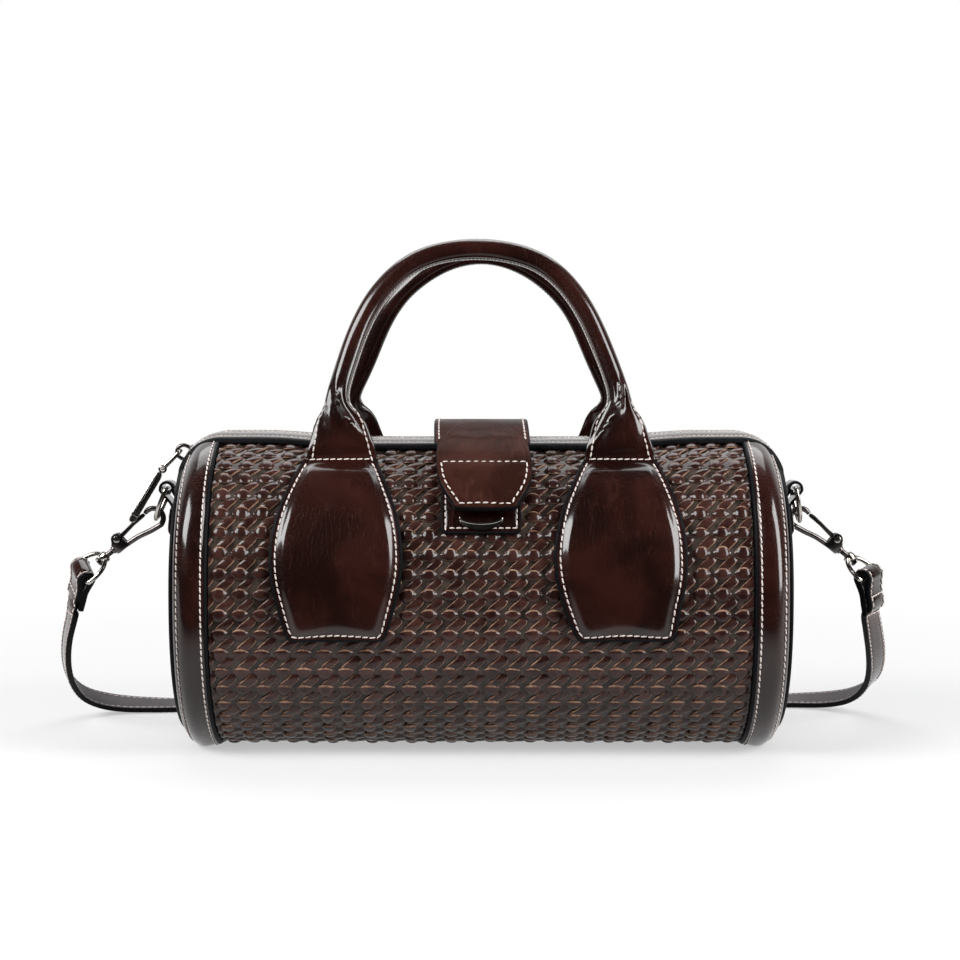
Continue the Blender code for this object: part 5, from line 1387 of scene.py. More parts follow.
def handle_section(route, index, angle, tighten=0.0):
    """Point of the handle's surface: a flat sewn neck that gathers into a round tube."""
    before = route[max(index - 1, 0)]
    after = route[min(index + 1, len(route) - 1)]
    along = (after - before).normalized()
    across_way = Vector((0.0, 1.0, 0.0)).cross(along).normalized()
    back_way = along.cross(across_way)
    centre = route[index]
    z = centre.z
    end = math.copysign(1.0, centre.x)
    half = 0.5 * interpolate(NECK_WIDTHS, z) * MM
    rounded = smoothstep(0.160, 0.174, z)
    cosine = math.cos(angle)
    sine = math.sin(angle)
    across = math.copysign(abs(cosine) ** (0.62 + 0.38 * rounded), cosine)
    flange = NECK_HALF_THICKNESS * abs(sine) ** 0.5
    bulge = NECK_BULGE * smoothstep(0.147, 0.166, z) * math.cos(0.5 * math.pi * across) ** 2
    depth = (flange + bulge) * (1.0 - rounded) + TUBE_RADIUS * abs(sine) * rounded
    if sine < 0.0:
        depth += neck_folds(across, z, end) * abs(sine) ** 0.5
    wrinkle = 0.00016 * noise.noise(centre * 55.0 + Vector((cosine, sine, 0.0)) * 1.4)
    from_seam = math.remainder(angle + SEAM_TURN, math.tau)
    seam = 0.0007 * rounded * smoothstep(0.0, 0.14, from_seam) * (1.0 - smoothstep(0.75, 1.1, from_seam))
    size = 1.0 - (seam - wrinkle * rounded + tighten) / TUBE_RADIUS
    return centre + across_way * across * half * size + back_way * math.copysign(depth, sine) * size


def neck_edge_spot(route, index, hand, inset):
    """Place of a stitch near one edge of a neck, on its front."""
    half = 0.5 * interpolate(NECK_WIDTHS, route[index].z) * MM
    across = max(0.0, 1.0 - inset / half)
    power = 0.62 + 0.38 * smoothstep(0.160, 0.174, route[index].z)
    turn = math.acos(min(1.0, across ** (1.0 / power)))
    angle = -turn if hand > 0.0 else math.pi + turn
    return handle_section(route, index, angle), handle_section(route, index, angle, tighten=0.0005)


def add_handle_stitches(shape, route, side):
    """Rows up both edges of each neck, the inner ones joined by the seam of the tube."""
    last = len(route) - 1
    lower = [index for index in range(last // 2) if route[index].z < 0.1700]
    insets = [edge_inset(route[index].z) for index in lower]
    lines = []
    for hand in (-1.0, 1.0):
        for first, way in ((0, 1), (last, -1)):
            lines.append([neck_edge_spot(route, first + way * index, hand, inset)
                          for index, inset in zip(lower, insets)])
    seam = []
    for index in range(lower[-1], last - lower[-1] + 1):
        seam.append((handle_section(route, index, -SEAM_STITCH_TURN),
                     handle_section(route, index, -SEAM_STITCH_TURN, tighten=0.0005)))
    lines.append(seam)
    for line in lines:
        share = 0.55 if line is seam else 1.0
        places = [turned(high, side) for high, _ in line]
        normals = [(turned(high, side) - turned(low, side)).normalized() for high, low in line]
        add_stitches(shape, places, normals, share, share)


def edge_inset(z):
    """Distance of the neck's stitches from its edge, less as the neck narrows."""
    return 0.0031 - 0.0019 * smoothstep(0.146, 0.170, z)


def make_handle(name, side):
    route = handle_line(name)
    last = len(route) - 1

    def place(u, v):
        return turned(handle_section(route, round(u * last), math.tau * v), side)

    def slots(u, v):
        index = min(int(u * last), last)
        flat = route[index].z < 0.1665
        sideways = abs(math.cos(math.tau * v)) > 0.955
        return RIM if flat and sideways else FACE

    shape = bmesh.new()
    add_sheet(shape, last, HANDLE_SIDES, place, slots, WELD_FINE)
    cap_ends(shape)
    bmesh.ops.recalc_face_normals(shape, faces=shape.faces[:])
    leather = set(shape.faces)
    add_handle_stitches(shape, route, side)
    paint_threads(shape, leather)
    nodes = (name + "_handle_cover", name + "_left_neck", name + "_right_neck")
    item = finish_piece(shape, name + "_handle_leather", ("glazed leather", "edge paint", "thread"),
                        None, nodes, smooth=60.0)
    fold_y = side * handle_depth(HINGE_HEIGHT)
    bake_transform(item)
    core = bmesh.new()
    add_tube(core, [turned(point, side) for point in route if point.z > 0.172], CORE_RADIUS, sides=16)
    finish_piece(core, name + "_handle_cord", ("board",), name + "_handle", (name + "_handle_core",))


class BAG_OT_handles(bpy.types.Operator):
    """Four padded patches and two rolled handles whose sewn necks rise from the patches"""

    bl_idname = "bag.handles"
    bl_label = "Handles and Patches"

    def execute(self, context):
        for row, side in (("front", 1.0), ("back", -1.0)):
            for end_name, end in (("left", -1.0), ("right", 1.0)):
                make_patch(f"{row}_{end_name}_patch", end, side)
            make_handle(row, side)
        return {"FINISHED"}


# Flap: a strap from the back over the top, with a shaped facing on its tip
STITCH_LINE_ANGLE = 129.2
FACING_TOP = 3.55
FACING_RIM = ((0.15, 0.0, RIM), (0.0, 0.35, RIM), (0.0, 2.90, RIM), (0.35, 3.34, FACE), (0.85, 3.50, FACE),
              (1.3, 3.55, FACE), (2.0, 3.52, FACE), (2.5, 3.30, FACE), (3.0, 3.50, FACE), (3.8, 3.60, FACE))
FACING_SHARES = tuple(step / 12.0 for step in range(1, 13))
FACING_CROWN = 3.75
FACING_STITCH_INSET = 0.0025
FACING_STITCH_HEIGHT = 0.0033
CREASE_SLOPE = math.radians(36.0)
FLAP_STITCH = 0.0024
FLAP_ARCH = 0.0028
FLAP_SKEW = 0.0020
FACING_HALF = ((94.0, 0.0), (94.6, 2.6), (96.0, 4.9), (98.5, 7.2), (102.0, 9.8), (105.0, 12.4), (108.5, 15.0),
               (112.5, 17.8), (118.0, 20.8), (122.5, 22.1), (130.0, 22.6), (134.0, 22.3), (137.0, 21.8),
               (141.0, 20.2), (144.7, 17.7), (147.0, 15.8), (148.3, 14.9))


def flap_lift(angle):
    """Height of the flap strap's inner face over the leather."""
    if angle < ANCHOR_RISE_ANGLE:
        return 0.0
    if angle < FLAP_HINGE_ANGLE:
        return FLAP_RISE * smoothstep(ANCHOR_RISE_ANGLE, FLAP_HINGE_ANGLE, angle)
    return FLAP_RISE + (FLAP_FRONT_LIFT - FLAP_RISE) * smoothstep(FLAP_HINGE_ANGLE, FLAP_RAISED_ANGLE, angle)


def flap_point(x, angle, height):
    """Point of the flap, which stands up over the mouth and hangs a little to the right of straight."""
    arched = FLAP_ARCH * smoothstep(68.0, 88.0, angle) * (1.0 - smoothstep(99.0, 124.0, angle))
    skewed = x + FLAP_SKEW * smoothstep(96.0, 149.0, angle)
    return section_point(skewed, angle, flap_lift(angle) + arched + height)


def facing_half(angle):
    """Half the width of the facing: an arched top that opens to the full width, then a rounded taper."""
    return interpolate(FACING_HALF, angle) * MM


def facing_table(count=160):
    """Distance down the facing from its apex, and section angle there."""
    rows = []
    distance = 0.0
    before = flap_point(0.0, ARCH_APEX_ANGLE, FACING_TOP * MM)
    for step in range(count + 1):
        angle = ARCH_APEX_ANGLE + (FLAP_TIP_ANGLE + 2.0 - ARCH_APEX_ANGLE) * step / count
        here = flap_point(0.0, angle, FACING_TOP * MM)
        distance += (here - before).length
        before = here
        rows.append((distance, angle))
    return rows


FACING_TABLE = facing_table()
FACING_DOWN = tuple((angle, distance) for distance, angle in FACING_TABLE)


def facing_edge():
    """Closed edge of the facing from its apex, down its left side and up its right, laid flat."""
    sides = [angle for angle, _ in FACING_HALF]
    left = [Vector((-facing_half(angle), 0.0, -interpolate(FACING_DOWN, angle))) for angle in sides]
    low = -interpolate(FACING_DOWN, FLAP_TIP_ANGLE)
    corner = [Vector((-0.5 * FACING_TIP_WIDTH + 0.0006, 0.0, low + 0.0002)),
              Vector((-0.007, 0.0, low - 0.0003))]
    half = left + corner
    mirrored = [Vector((-point.x, 0.0, point.z)) for point in reversed(half[1:])]
    return smooth_route(half + [Vector((0.0, 0.0, low - 0.0004))] + mirrored + [half[0].copy()], 5)


def facing_spine(edge):
    low = -interpolate(FACING_DOWN, FLAP_TIP_ANGLE) + 0.014
    return Vector((0.0, 0.0, min(max(edge.z, low), -0.020)))


def facing_base(angle):
    """Height of the facing's underside: on the strap at its top, round the strap's tip below."""
    return FLAP_THICKNESS * (1.0 - smoothstep(ARCH_FOOT_ANGLE - 2.0, ARCH_FOOT_ANGLE + 3.0, angle))


def facing_relief(x, down):
    """Sewn line across the facing and the folds pressed into its lower right."""
    line = interpolate(FACING_DOWN, STITCH_LINE_ANGLE)
    inside = 1.0 - smoothstep(0.0185, 0.0205, abs(x))
    groove = -0.00028 * math.exp(-((down - line) / 0.00055) ** 2) * inside
    pillow = 0.0003 * smoothstep(line, line + 0.004, down) * inside
    low = FACING_DOWN[-1][1] - 0.0085
    near = math.exp(-((x - 0.0075) / 0.0075) ** 2 - ((down - low) / 0.0055) ** 2)
    across = -x * math.sin(CREASE_SLOPE) - (down - low) * math.cos(CREASE_SLOPE)
    wander = across + 0.0006 * noise.noise(Vector((x * 160.0, down * 160.0, 4.0)))
    fold = 0.5 + 0.5 * math.cos(math.tau * wander / 0.0024)
    rough = 0.00012 * noise.noise(Vector((x * 110.0, down * 110.0, 1.0)))
    return groove + pillow - 0.0007 * near * fold ** 3 + rough


def on_facing(spot, height):
    """World place of a spot of the flat facing, height in metres over the strap's inner face."""
    down = -spot.z
    angle = interpolate(FACING_TABLE, max(down, 0.0))
    base = facing_base(angle)
    skived = 0.30 + 0.70 * smoothstep(ARCH_APEX_ANGLE + 6.0, ARCH_FOOT_ANGLE + 3.0, angle)
    above = FLAP_THICKNESS + (height - FLAP_THICKNESS) * skived
    lifted = base + height if height < 0.0019 else above + facing_relief(spot.x, down)
    return flap_point(spot.x, angle, lifted)


def make_facing():
    edge = facing_edge()
    last = len(edge) - 1
    rows = len(FACING_RIM) + len(FACING_SHARES) - 1

    def top(u, v):
        point = edge[round(u * last) % last]
        spot, height = inward_spot(point, facing_spine(point), round(v * rows), FACING_RIM, FACING_SHARES,
                                   FACING_CROWN)
        return on_facing(spot, height * MM)

    def underside(u, v):
        point = edge[round(u * last) % last]
        start = point + (facing_spine(point) - point).normalized() * FACING_RIM[0][0] * MM
        return on_facing(start.lerp(facing_spine(point), v), 0.0)

    shape = bmesh.new()
    add_sheet(shape, last, rows, top, lambda u, v: FACING_RIM[min(int(v * rows), len(FACING_RIM) - 1)][2])
    add_sheet(shape, last, 4, underside, RIM)
    bmesh.ops.remove_doubles(shape, verts=shape.verts, dist=WELD_FINE)
    bmesh.ops.recalc_face_normals(shape, faces=shape.faces[:])
    finish_piece(shape, "flap_facing_leather", ("flap leather", "edge paint"), "flap", ("flap_facing",),
                 smooth=50.0)

    line = interpolate(FACING_DOWN, STITCH_LINE_ANGLE)
    inset = [point + (facing_spine(point) - point).normalized() * FACING_STITCH_INSET for point in edge]
    around = [point for point in inset if -point.z >= line]
    across = [around[0].lerp(around[-1], step / 16.0) for step in range(17)]
    threads = bmesh.new()
    for flat in (around, across):
        route = [on_facing(spot, FACING_STITCH_HEIGHT) for spot in flat]
        add_stitches(threads, route, barrel_axis, cover=0.8, setting="flap_pitch")
    finish_piece(threads, "flap_facing_stitching", ("thread",), "flap")


def belt_section(width, thickness, stitch):
    """Points (across, height) and materials of a sewn belt's section.

    It has painted edges, a groove for the stitches near each and a flat underside.
    """
    half = 0.5 * width
    left = [(-half + 0.25 * MM, 0.0), (-half, 0.25 * thickness), (-half, 0.72 * thickness),
            (-half + 0.3 * MM, 0.95 * thickness), (-half + 0.8 * MM, thickness),
            (-half + stitch - 0.45 * MM, thickness), (-half + stitch, thickness - 0.22 * MM),
            (-half + stitch + 0.45 * MM, thickness), (-0.35 * half, thickness + 0.12 * MM)]
    right = [(-across, height) for across, height in reversed(left)]
    return left + right, [RIM] * 4 + [FACE] * 9 + [RIM] * 4


def add_belt(shape, count, width, thickness, stitch, place, under=FACE):
    """A belt with place(step, across, height) for its points, closed at both ends."""
    points, materials = belt_section(width, thickness, stitch)
    sides = len(points)
    materials = materials + [under]

    def spot(u, v):
        across, height = points[round(v * sides) % sides]
        return place(round(u * count), across, height)

    add_sheet(shape, count, sides, spot, lambda u, v: materials[min(int(v * sides), sides - 1)], WELD_FINEST)
    cap_ends(shape, RIM)
    bmesh.ops.recalc_face_normals(shape, faces=shape.faces[:])


def paint_threads(shape, known):
    """Gives the faces added since known the thread's material."""
    for face in shape.faces:
        if face not in known:
            face.material_index = INSIDE


def make_flap_strap():
    count = 110
    sweep = FLAP_END_ANGLE - ANCHOR_FOOT_ANGLE
    angles = [ANCHOR_FOOT_ANGLE + sweep * step / count for step in range(count + 1)]

    def place(step, across, height):
        angle = angles[step]
        hidden = (2.0 * facing_half(max(angle, ARCH_FOOT_ANGLE)) - 0.002) / FLAP_WIDTH
        narrow = 1.0 + (hidden - 1.0) * smoothstep(ARCH_FOOT_ANGLE - 4.0, ARCH_FOOT_ANGLE + 5.0, angle)
        ripple = 0.00014 * noise.noise(Vector((across * 80.0, angle * 0.12, 6.0)))
        return flap_point(across * narrow, angle, height + ripple * (1.0 if height > 0.001 else 0.0))

    shape = bmesh.new()
    add_belt(shape, count, FLAP_WIDTH, FLAP_THICKNESS, FLAP_STITCH, place)
    known = set(shape.faces)
    seen = [step for step, angle in enumerate(angles) if angle < 115.5]
    edge = 0.5 * FLAP_WIDTH - FLAP_STITCH
    for hand in (-1.0, 1.0):
        route = [place(step, hand * edge, FLAP_THICKNESS - 0.0002) for step in seen[2:]]
        add_stitches(shape, route, barrel_axis)
    for angle in (30.0, 47.0):
        step = min(seen, key=lambda number: abs(angles[number] - angle))
        route = [place(step, edge * (share / 6.0 - 1.0), FLAP_THICKNESS) for share in range(13)]
        add_stitches(shape, route, barrel_axis)
    paint_threads(shape, known)
    strap = finish_piece(shape, "flap_strap_leather", ("flap leather", "edge paint", "thread"), None,
                         ("flap_strap", "flap_anchor"), smooth=50.0)
    tuple(flap_point(0.0, FLAP_HINGE_ANGLE - 6.0, 0.0))
    tuple(flap_point(0.0, FLAP_HINGE_ANGLE + 7.0, 0.0))
    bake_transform(strap)


# Catch patch under the flap's tip
CATCH_WIDTH = 0.0375
CATCH_TOP = 0.135
CATCH_BOTTOM = 0.1087
CATCH_CORNER = 0.0025
CATCH_RIM = ((0.1, -0.3, RIM), (0.0, 0.3, RIM), (0.0, 1.7, RIM), (0.25, 2.1, RIM), (0.8, 2.25, FACE),
             (1.7, 2.2, FACE), (2.2, 1.98, FACE), (2.7, 2.2, FACE), (3.6, 2.3, FACE), (8.0, 2.25, FACE),
             (13.0, 2.2, FACE))
CATCH_STITCH_INSET = 0.0022
KEEPER_WIDTH = 0.0197
KEEPER_TOP = 0.1152
KEEPER_LIFT = 0.0031


def catch_ring(inset):
    """Closed edge of the catch patch moved in by inset, with the same count of points for any inset."""
    half = 0.5 * CATCH_WIDTH - inset
    high = 0.5 * (CATCH_TOP - CATCH_BOTTOM) - inset
    radius = min(max(CATCH_CORNER - inset, 0.0001), half, high)
    middle = 0.5 * (CATCH_TOP + CATCH_BOTTOM)
    corners = []
    for quarter, (sign_x, sign_z) in enumerate(((1.0, 1.0), (-1.0, 1.0), (-1.0, -1.0), (1.0, -1.0))):
        centre = Vector((sign_x * (half - radius), 0.0, middle + sign_z * (high - radius)))
        corners.append([centre + radius * Vector((math.cos(turn), 0.0, math.sin(turn)))
                        for turn in (math.radians(90.0 * quarter + 18.0 * step) for step in range(6))])
    ring = []
    for quarter, arc in enumerate(corners):
        following = corners[(quarter + 1) % 4][0]
        ring.extend(arc)
        ring.extend(arc[-1].lerp(following, step / 10.0) for step in range(1, 10))
    return ring


def make_catch():
    rows = len(CATCH_RIM) - 1
    rings = [catch_ring(run * MM) for run, _, _ in CATCH_RIM]
    count = len(rings[0])

    def place(u, v):
        row = round(v * rows)
        spot = rings[row][round(u * count) % count]
        crumple = 0.00012 * noise.noise(Vector((spot.x * 120.0, spot.z * 120.0, 3.0)))
        return patch_point(spot.x, spot.z, CATCH_RIM[row][1] * MM + crumple)

    shape = bmesh.new()
    add_sheet(shape, count, rows, place, lambda u, v: CATCH_RIM[min(int(v * rows), rows)][2], WELD_FINE)
    cap_ends(shape)
    shape.normal_update()
    finish_piece(shape, "catch_patch_leather", ("glazed leather", "edge paint"), "bag", ("catch_patch",),
                 inside=lambda point: Vector((point.x, 0.0, point.z)))
    spots = catch_ring(CATCH_STITCH_INSET)
    spots.append(spots[0])
    route = [patch_point(spot.x, spot.z, 0.0019) for spot in spots]
    threads = bmesh.new()
    add_stitches(threads, route, barrel_axis)
    finish_piece(threads, "catch_stitching", ("thread",), "bag")


def make_keeper():
    """Crescent plate of dark metal with a rolled upper edge; the edge's brighter polished nickel is a painted
    highlight along its top.
    """
    half = 0.5 * KEEPER_WIDTH
    upper = [(half * math.cos(math.radians(turn)), -0.0030 * math.sin(math.radians(turn)))
             for turn in range(180, -1, -10)]
    lower = [(half * 1.01 * math.cos(math.radians(turn)), -0.0011 - 0.0048 * math.sin(math.radians(turn)))
             for turn in range(0, 181, 10)]
    low = patch_point(0.0, KEEPER_TOP - 0.004, 0.0)
    high = patch_point(0.0, KEEPER_TOP, 0.0)
    up = (high - low).normalized()
    right = Vector((1.0, 0.0, 0.0))
    outward = right.cross(up)
    matrix = placed(high + outward * KEEPER_LIFT, right, up, outward)
    shape = bmesh.new()
    add_plate(shape, upper + lower, 0.0010, matrix, FACE, 0.0002)
    # Painted highlight: the rolled upper bead takes the brighter polished nickel
    bead = [matrix @ Vector((across, rise, 0.0004)) for across, rise in upper]
    add_tube(shape, bead, 0.0006, 10, material=RIM)
    finish_piece(shape, "catch_keeper_metal", ("dark nickel", "nickel"), "bag", ("catch_keeper",))


class BAG_OT_flap(bpy.types.Operator):
    """Flap strap sewn down at the back, its shaped facing, the catch patch and its metal keeper"""

    bl_idname = "bag.flap"
    bl_label = "Flap and Catch"

    def execute(self, context):
        make_flap_strap()
        make_facing()
        make_catch()
        make_keeper()
        return {"FINISHED"}


# Ends: tabs, D-rings, trigger hooks and swivel rings
TAB_WIDTH = 0.0125
TAB_LAYER = 0.0014
TAB_HINGE_X = 0.1576
TAB_HINGE_Z = 0.126
TAB_LOOP_RADIUS = 0.0039
TAB_ROOT = 0.118
TAB_BODY_FOOT = 0.101
TAB_TAIL_FOOT = 0.091
TAB_BULGE = 0.0024
TAB_BULGE_TOP = 0.106
TAB_STITCH = 0.0017
RING_WIRE = 0.00115
RING_SPACING = 0.0008
DRING_DROP = 0.017
DRING_HALF_WIDTH = 0.008
HOOK_ANGLE = math.radians(38.5)
HOOK_LENGTH = 0.032
HOOK_WIRE = 0.0014
CLAW_RADIUS = 0.0049
SPINE_FOOT = -0.0019
KNUCKLE_START = 0.0185
KNUCKLE_END = 0.025
PIVOT = Vector((0.0209, 0.0031, 0.0))
CHEEK_OUT = 0.0020
GATE_WIDTH = 0.0020
SWIVEL_REACH = 0.0133
SWIVEL_HALF_WIDTH = 0.0094
# Side, lean of the D-ring in degrees, claw's place in the ring, and the strap fold's two directions
ENDS = {
    "left": (-1.0, 22.0, Vector((-0.0012, 0.0, 0.0006)),
             Vector((-0.42, 0.76, 0.50)), Vector((0.85, 0.0, 0.53))),
    "right": (1.0, 10.5, Vector((0.0004, 0.0, 0.0015)),
              Vector((0.60, 0.78, 0.15)), Vector((-0.85, 0.0, 0.53))),
}


def ring_down(side, lean):
    return Vector((side * math.sin(math.radians(lean)), 0.0, -math.cos(math.radians(lean))))


def rounded_loop(corners):
    """Even points round a closed loop with its corners worn round."""
    points = []
    for first, second in zip(corners, corners[1:] + corners[:1]):
        steps = max(1, round((second - first).length / RING_SPACING))
        points.extend(first.lerp(second, step / steps) for step in range(steps))
    for _ in range(3):
        count = len(points)
        points = [0.25 * points[index - 1] + 0.5 * points[index] + 0.25 * points[(index + 1) % count]
                  for index in range(count)]
    return points


def d_shape(centre, across, away, half_width, reach, steps):
    """Corners of a straight bar through centre along across and a round side that reaches away."""
    return [centre + across * half_width * math.cos(math.pi * step / steps)
            + away * reach * max(math.sin(math.pi * step / steps), 0.0) ** 0.85 for step in range(steps + 1)]


def add_collar(shape, matrix, middle, radial, axial):
    """A turned ring round the matrix's X axis."""

    def place(u, v):
        turn = math.tau * u
        around = math.tau * v
        across = math.copysign(abs(math.cos(around)) ** 0.6, math.cos(around))
        along = math.copysign(abs(math.sin(around)) ** 0.6, math.sin(around))
        radius = middle + radial * across
        return matrix @ Vector((axial * along, radius * math.cos(turn), radius * math.sin(turn)))

    add_sheet(shape, 28, 12, place, FACE, WELD_FINEST)


def make_tab(name, side):
    """Leather folded round the D-ring's bar and sewn flat on the domed end."""
    inner = TAB_LOOP_RADIUS - TAB_LAYER
    centre = Vector((TAB_HINGE_X, 0.0, TAB_HINGE_Z))
    heights = [TAB_TAIL_FOOT + (TAB_ROOT - TAB_TAIL_FOOT) * step / 5.0 for step in range(6)]
    knots = [Vector((dome_x(0.0, z) + 0.0003 + TAB_LAYER, 0.0, z)) for z in heights]
    knots += [centre + inner * Vector((math.cos(math.radians(turn)), 0.0, math.sin(math.radians(turn))))
              for turn in range(205, -36, -30)]
    heights = [TAB_ROOT + (TAB_BODY_FOOT - TAB_ROOT) * step / 4.0 for step in range(5)]
    for z in heights:
        bulge = TAB_BULGE * smoothstep(TAB_BODY_FOOT, TAB_BULGE_TOP, z)
        knots.append(Vector((dome_x(0.0, z) + 0.0004 + TAB_LAYER + bulge, 0.0, z)))
    route = smooth_route(knots, 4)
    last = len(route) - 1

    def place(step, across, height):
        along = (route[min(step + 1, last)] - route[max(step - 1, 0)]).normalized()
        out = Vector((-along.z, 0.0, along.x))
        point = route[step] + out * height
        return Vector((side * point.x, across, point.z))

    shape = bmesh.new()
    add_belt(shape, last, TAB_WIDTH, TAB_LAYER, TAB_STITCH, place)
    known = set(shape.faces)
    outer = [step for step in range(last // 2, last - 2) if route[step].z < TAB_ROOT + 0.001]
    edge = 0.5 * TAB_WIDTH - TAB_STITCH
    lines = [[place(step, hand * edge, TAB_LAYER - 0.0002) for step in outer] for hand in (-1.0, 1.0)]
    for step in (outer[0], outer[-1]):
        lines.append([place(step, edge * (share / 4.0 - 1.0), TAB_LAYER) for share in range(9)])
    for line in lines:
        add_stitches(shape, line, [Vector((side, 0.0, 0.0))] * len(line))
    paint_threads(shape, known)
    finish_piece(shape, name + "_dring_tab_leather", ("glazed leather", "edge paint", "thread"), "bag",
                 (name + "_dring_tab",), smooth=50.0)


def make_dring(name, side, lean):
    hinge = Vector((side * TAB_HINGE_X, 0.0, TAB_HINGE_Z))
    corners = d_shape(hinge, Vector((0.0, 1.0, 0.0)), ring_down(side, lean), DRING_HALF_WIDTH, DRING_DROP, 18)
    shape = bmesh.new()
    add_tube(shape, rounded_loop(corners), RING_WIRE, 14, cyclic=True)
    finish_piece(shape, name + "_dring_metal", ("nickel",), name + "_dring", (name + "_dring",))


def hook_matrix(name):
    """Hook's own frame: X from the claw to the swivel, Y towards the gate, origin in the claw."""
    side, lean, offset, _, _ = ENDS[name]
    along = Vector((side * math.cos(HOOK_ANGLE), 0.0, -math.sin(HOOK_ANGLE)))
    outward = Vector((side * math.sin(HOOK_ANGLE), 0.0, math.cos(HOOK_ANGLE)))
    claw = Vector((side * TAB_HINGE_X, 0.0, TAB_HINGE_Z)) + ring_down(side, lean) * DRING_DROP + offset
    return placed(claw, along, outward, along.cross(outward))


def circle(middle, radius, first, last, steps):
    """Corners (across, up) of an arc, angles in degrees."""
    return [(middle[0] + radius * math.cos(math.radians(first + (last - first) * step / steps)),
             middle[1] + radius * math.sin(math.radians(first + (last - first) * step / steps)))
            for step in range(steps + 1)]


def make_hook(name):
    matrix = hook_matrix(name)
    shape = bmesh.new()
    knots = [Vector((across, up, 0.0)) for across, up in circle((0.0, 0.0), CLAW_RADIUS, 66.0, 265.0, 14)]
    knots += [Vector((0.3 * KNUCKLE_START, 0.3 * SPINE_FOOT - 0.7 * CLAW_RADIUS, 0.0)),
              Vector((0.65 * KNUCKLE_START, 0.85 * SPINE_FOOT - 0.18 * CLAW_RADIUS, 0.0)),
              Vector((KNUCKLE_START, SPINE_FOOT, 0.0)),
              Vector((KNUCKLE_END - 0.001, SPINE_FOOT + 0.0003, 0.0))]
    route = [matrix @ point for point in smooth_route(knots, 4)]
    add_tube(shape, route, lambda share: HOOK_WIRE * (0.78 + 0.22 * smoothstep(0.0, 0.12, share)), 16)
    cheek = circle((PIVOT.x, PIVOT.y), 0.0030, 150.0, 20.0, 10) + [
        (KNUCKLE_END, 0.0022), (KNUCKLE_END, SPINE_FOOT - 0.0012),
        (KNUCKLE_START - 0.0006, SPINE_FOOT - 0.0012), (KNUCKLE_START - 0.0004, SPINE_FOOT + 0.0016)]
    for hand in (-1.0, 1.0):
        place = Matrix.Translation((0.0, 0.0, hand * CHEEK_OUT))
        add_plate(shape, cheek[::-1], 0.0014, matrix @ place, RIM, 0.0003)
    web = [(0.0238, -0.0030), (0.0252, -0.0026), (0.0252, 0.0026), (0.0238, 0.0034)]
    add_plate(shape, web, 2.0 * CHEEK_OUT, matrix, RIM, 0.0002)
    for start, end, radius in ((KNUCKLE_END - 0.0004, 0.0266, 0.0021), (0.0262, 0.0350, 0.0014),
                               (0.0348, 0.0362, 0.0023)):
        add_rod(shape, matrix @ Vector((start, 0.0, 0.0)), matrix @ Vector((end, 0.0, 0.0)), radius, 20,
                FACE, 0.0004)
    finish_piece(shape, name + "_hook_metal", ("dark nickel", "dark nickel"), name + "_hook",
                 (name + "_hook_body",))

    shape = bmesh.new()
    for hand in (-1.0, 1.0):
        foot = matrix @ (PIVOT + Vector((0.0, 0.0, hand * (CHEEK_OUT + 0.0006))))
        top = matrix @ (PIVOT + Vector((0.0, 0.0, hand * (CHEEK_OUT + 0.0013))))
        add_rod(shape, foot, top, 0.0018, 24, FACE, 0.00045)
    half_pin = Vector((0.0, 0.0, CHEEK_OUT))
    add_rod(shape, matrix @ (PIVOT - half_pin), matrix @ (PIVOT + half_pin), 0.0008, 16)
    finish_piece(shape, name + "_hook_rivet", ("nickel",), name + "_hook", (name + "_hook_pin",))

    shape = bmesh.new()
    nose = (CLAW_RADIUS * math.cos(math.radians(70.0)), CLAW_RADIUS * math.sin(math.radians(70.0)))
    tip = (nose[0] + 0.0007, nose[1] - 0.0003)
    eye = circle((PIVOT.x, PIVOT.y), 0.00175, -130.0, 130.0, 12)
    bar = [(0.0150, 0.0045), (0.0100, 0.0051), (0.0055, 0.0055), (tip[0] + 0.0009, tip[1] + 0.0011),
           (tip[0] + 0.0001, tip[1] + 0.0006), (tip[0], tip[1] - 0.0007), (tip[0] + 0.0012, tip[1] - 0.0010),
           (0.0100, 0.0031), (0.0150, 0.0024)]
    add_plate(shape, eye + bar, GATE_WIDTH, matrix, FACE, 0.0004)
    finish_piece(shape, name + "_hook_gate_metal", ("dark nickel",), name + "_gate", (name + "_hook_gate",))


def swivel_bar(name):
    """Middle of the swivel's boss, of the ring's straight bar, and the directions across and away."""
    _, _, _, across, away = ENDS[name]
    boss = hook_matrix(name) @ Vector((HOOK_LENGTH, 0.0, 0.0))
    across = across.normalized()
    away = (away - across * away.dot(across)).normalized()
    return boss, boss - away * SWIVEL_REACH, across, away


def make_swivel_ring(name):
    boss, bar, across, away = swivel_bar(name)
    corners = d_shape(bar, across, away, SWIVEL_HALF_WIDTH, SWIVEL_REACH, 26)
    loop = rounded_loop(corners)
    top = min(range(len(loop)), key=lambda index: (loop[index] - boss).length)
    loop = loop[top:] + loop[:top]
    route = [point for point in loop if (point - boss).length > 0.0022]
    shape = bmesh.new()
    add_tube(shape, route, RING_WIRE, 14)
    matrix = hook_matrix(name) @ Matrix.Translation((HOOK_LENGTH, 0.0, 0.0))
    add_collar(shape, matrix, 0.00238, 0.00058, 0.0017)
    finish_piece(shape, name + "_swivel_ring_metal", ("nickel",), "bag", (name + "_swivel_ring",))


class BAG_OT_hardware(bpy.types.Operator):
    """Ring tabs, D-rings, trigger hooks with their sprung gates, and the strap's swivel rings"""

    bl_idname = "bag.hardware"
    bl_label = "Rings and Hooks"

    def execute(self, context):
        for name, (side, lean, _, _, _) in ENDS.items():
            make_tab(name, side)
            make_dring(name, side, lean)
            make_hook(name)
            make_swivel_ring(name)
        return {"FINISHED"}
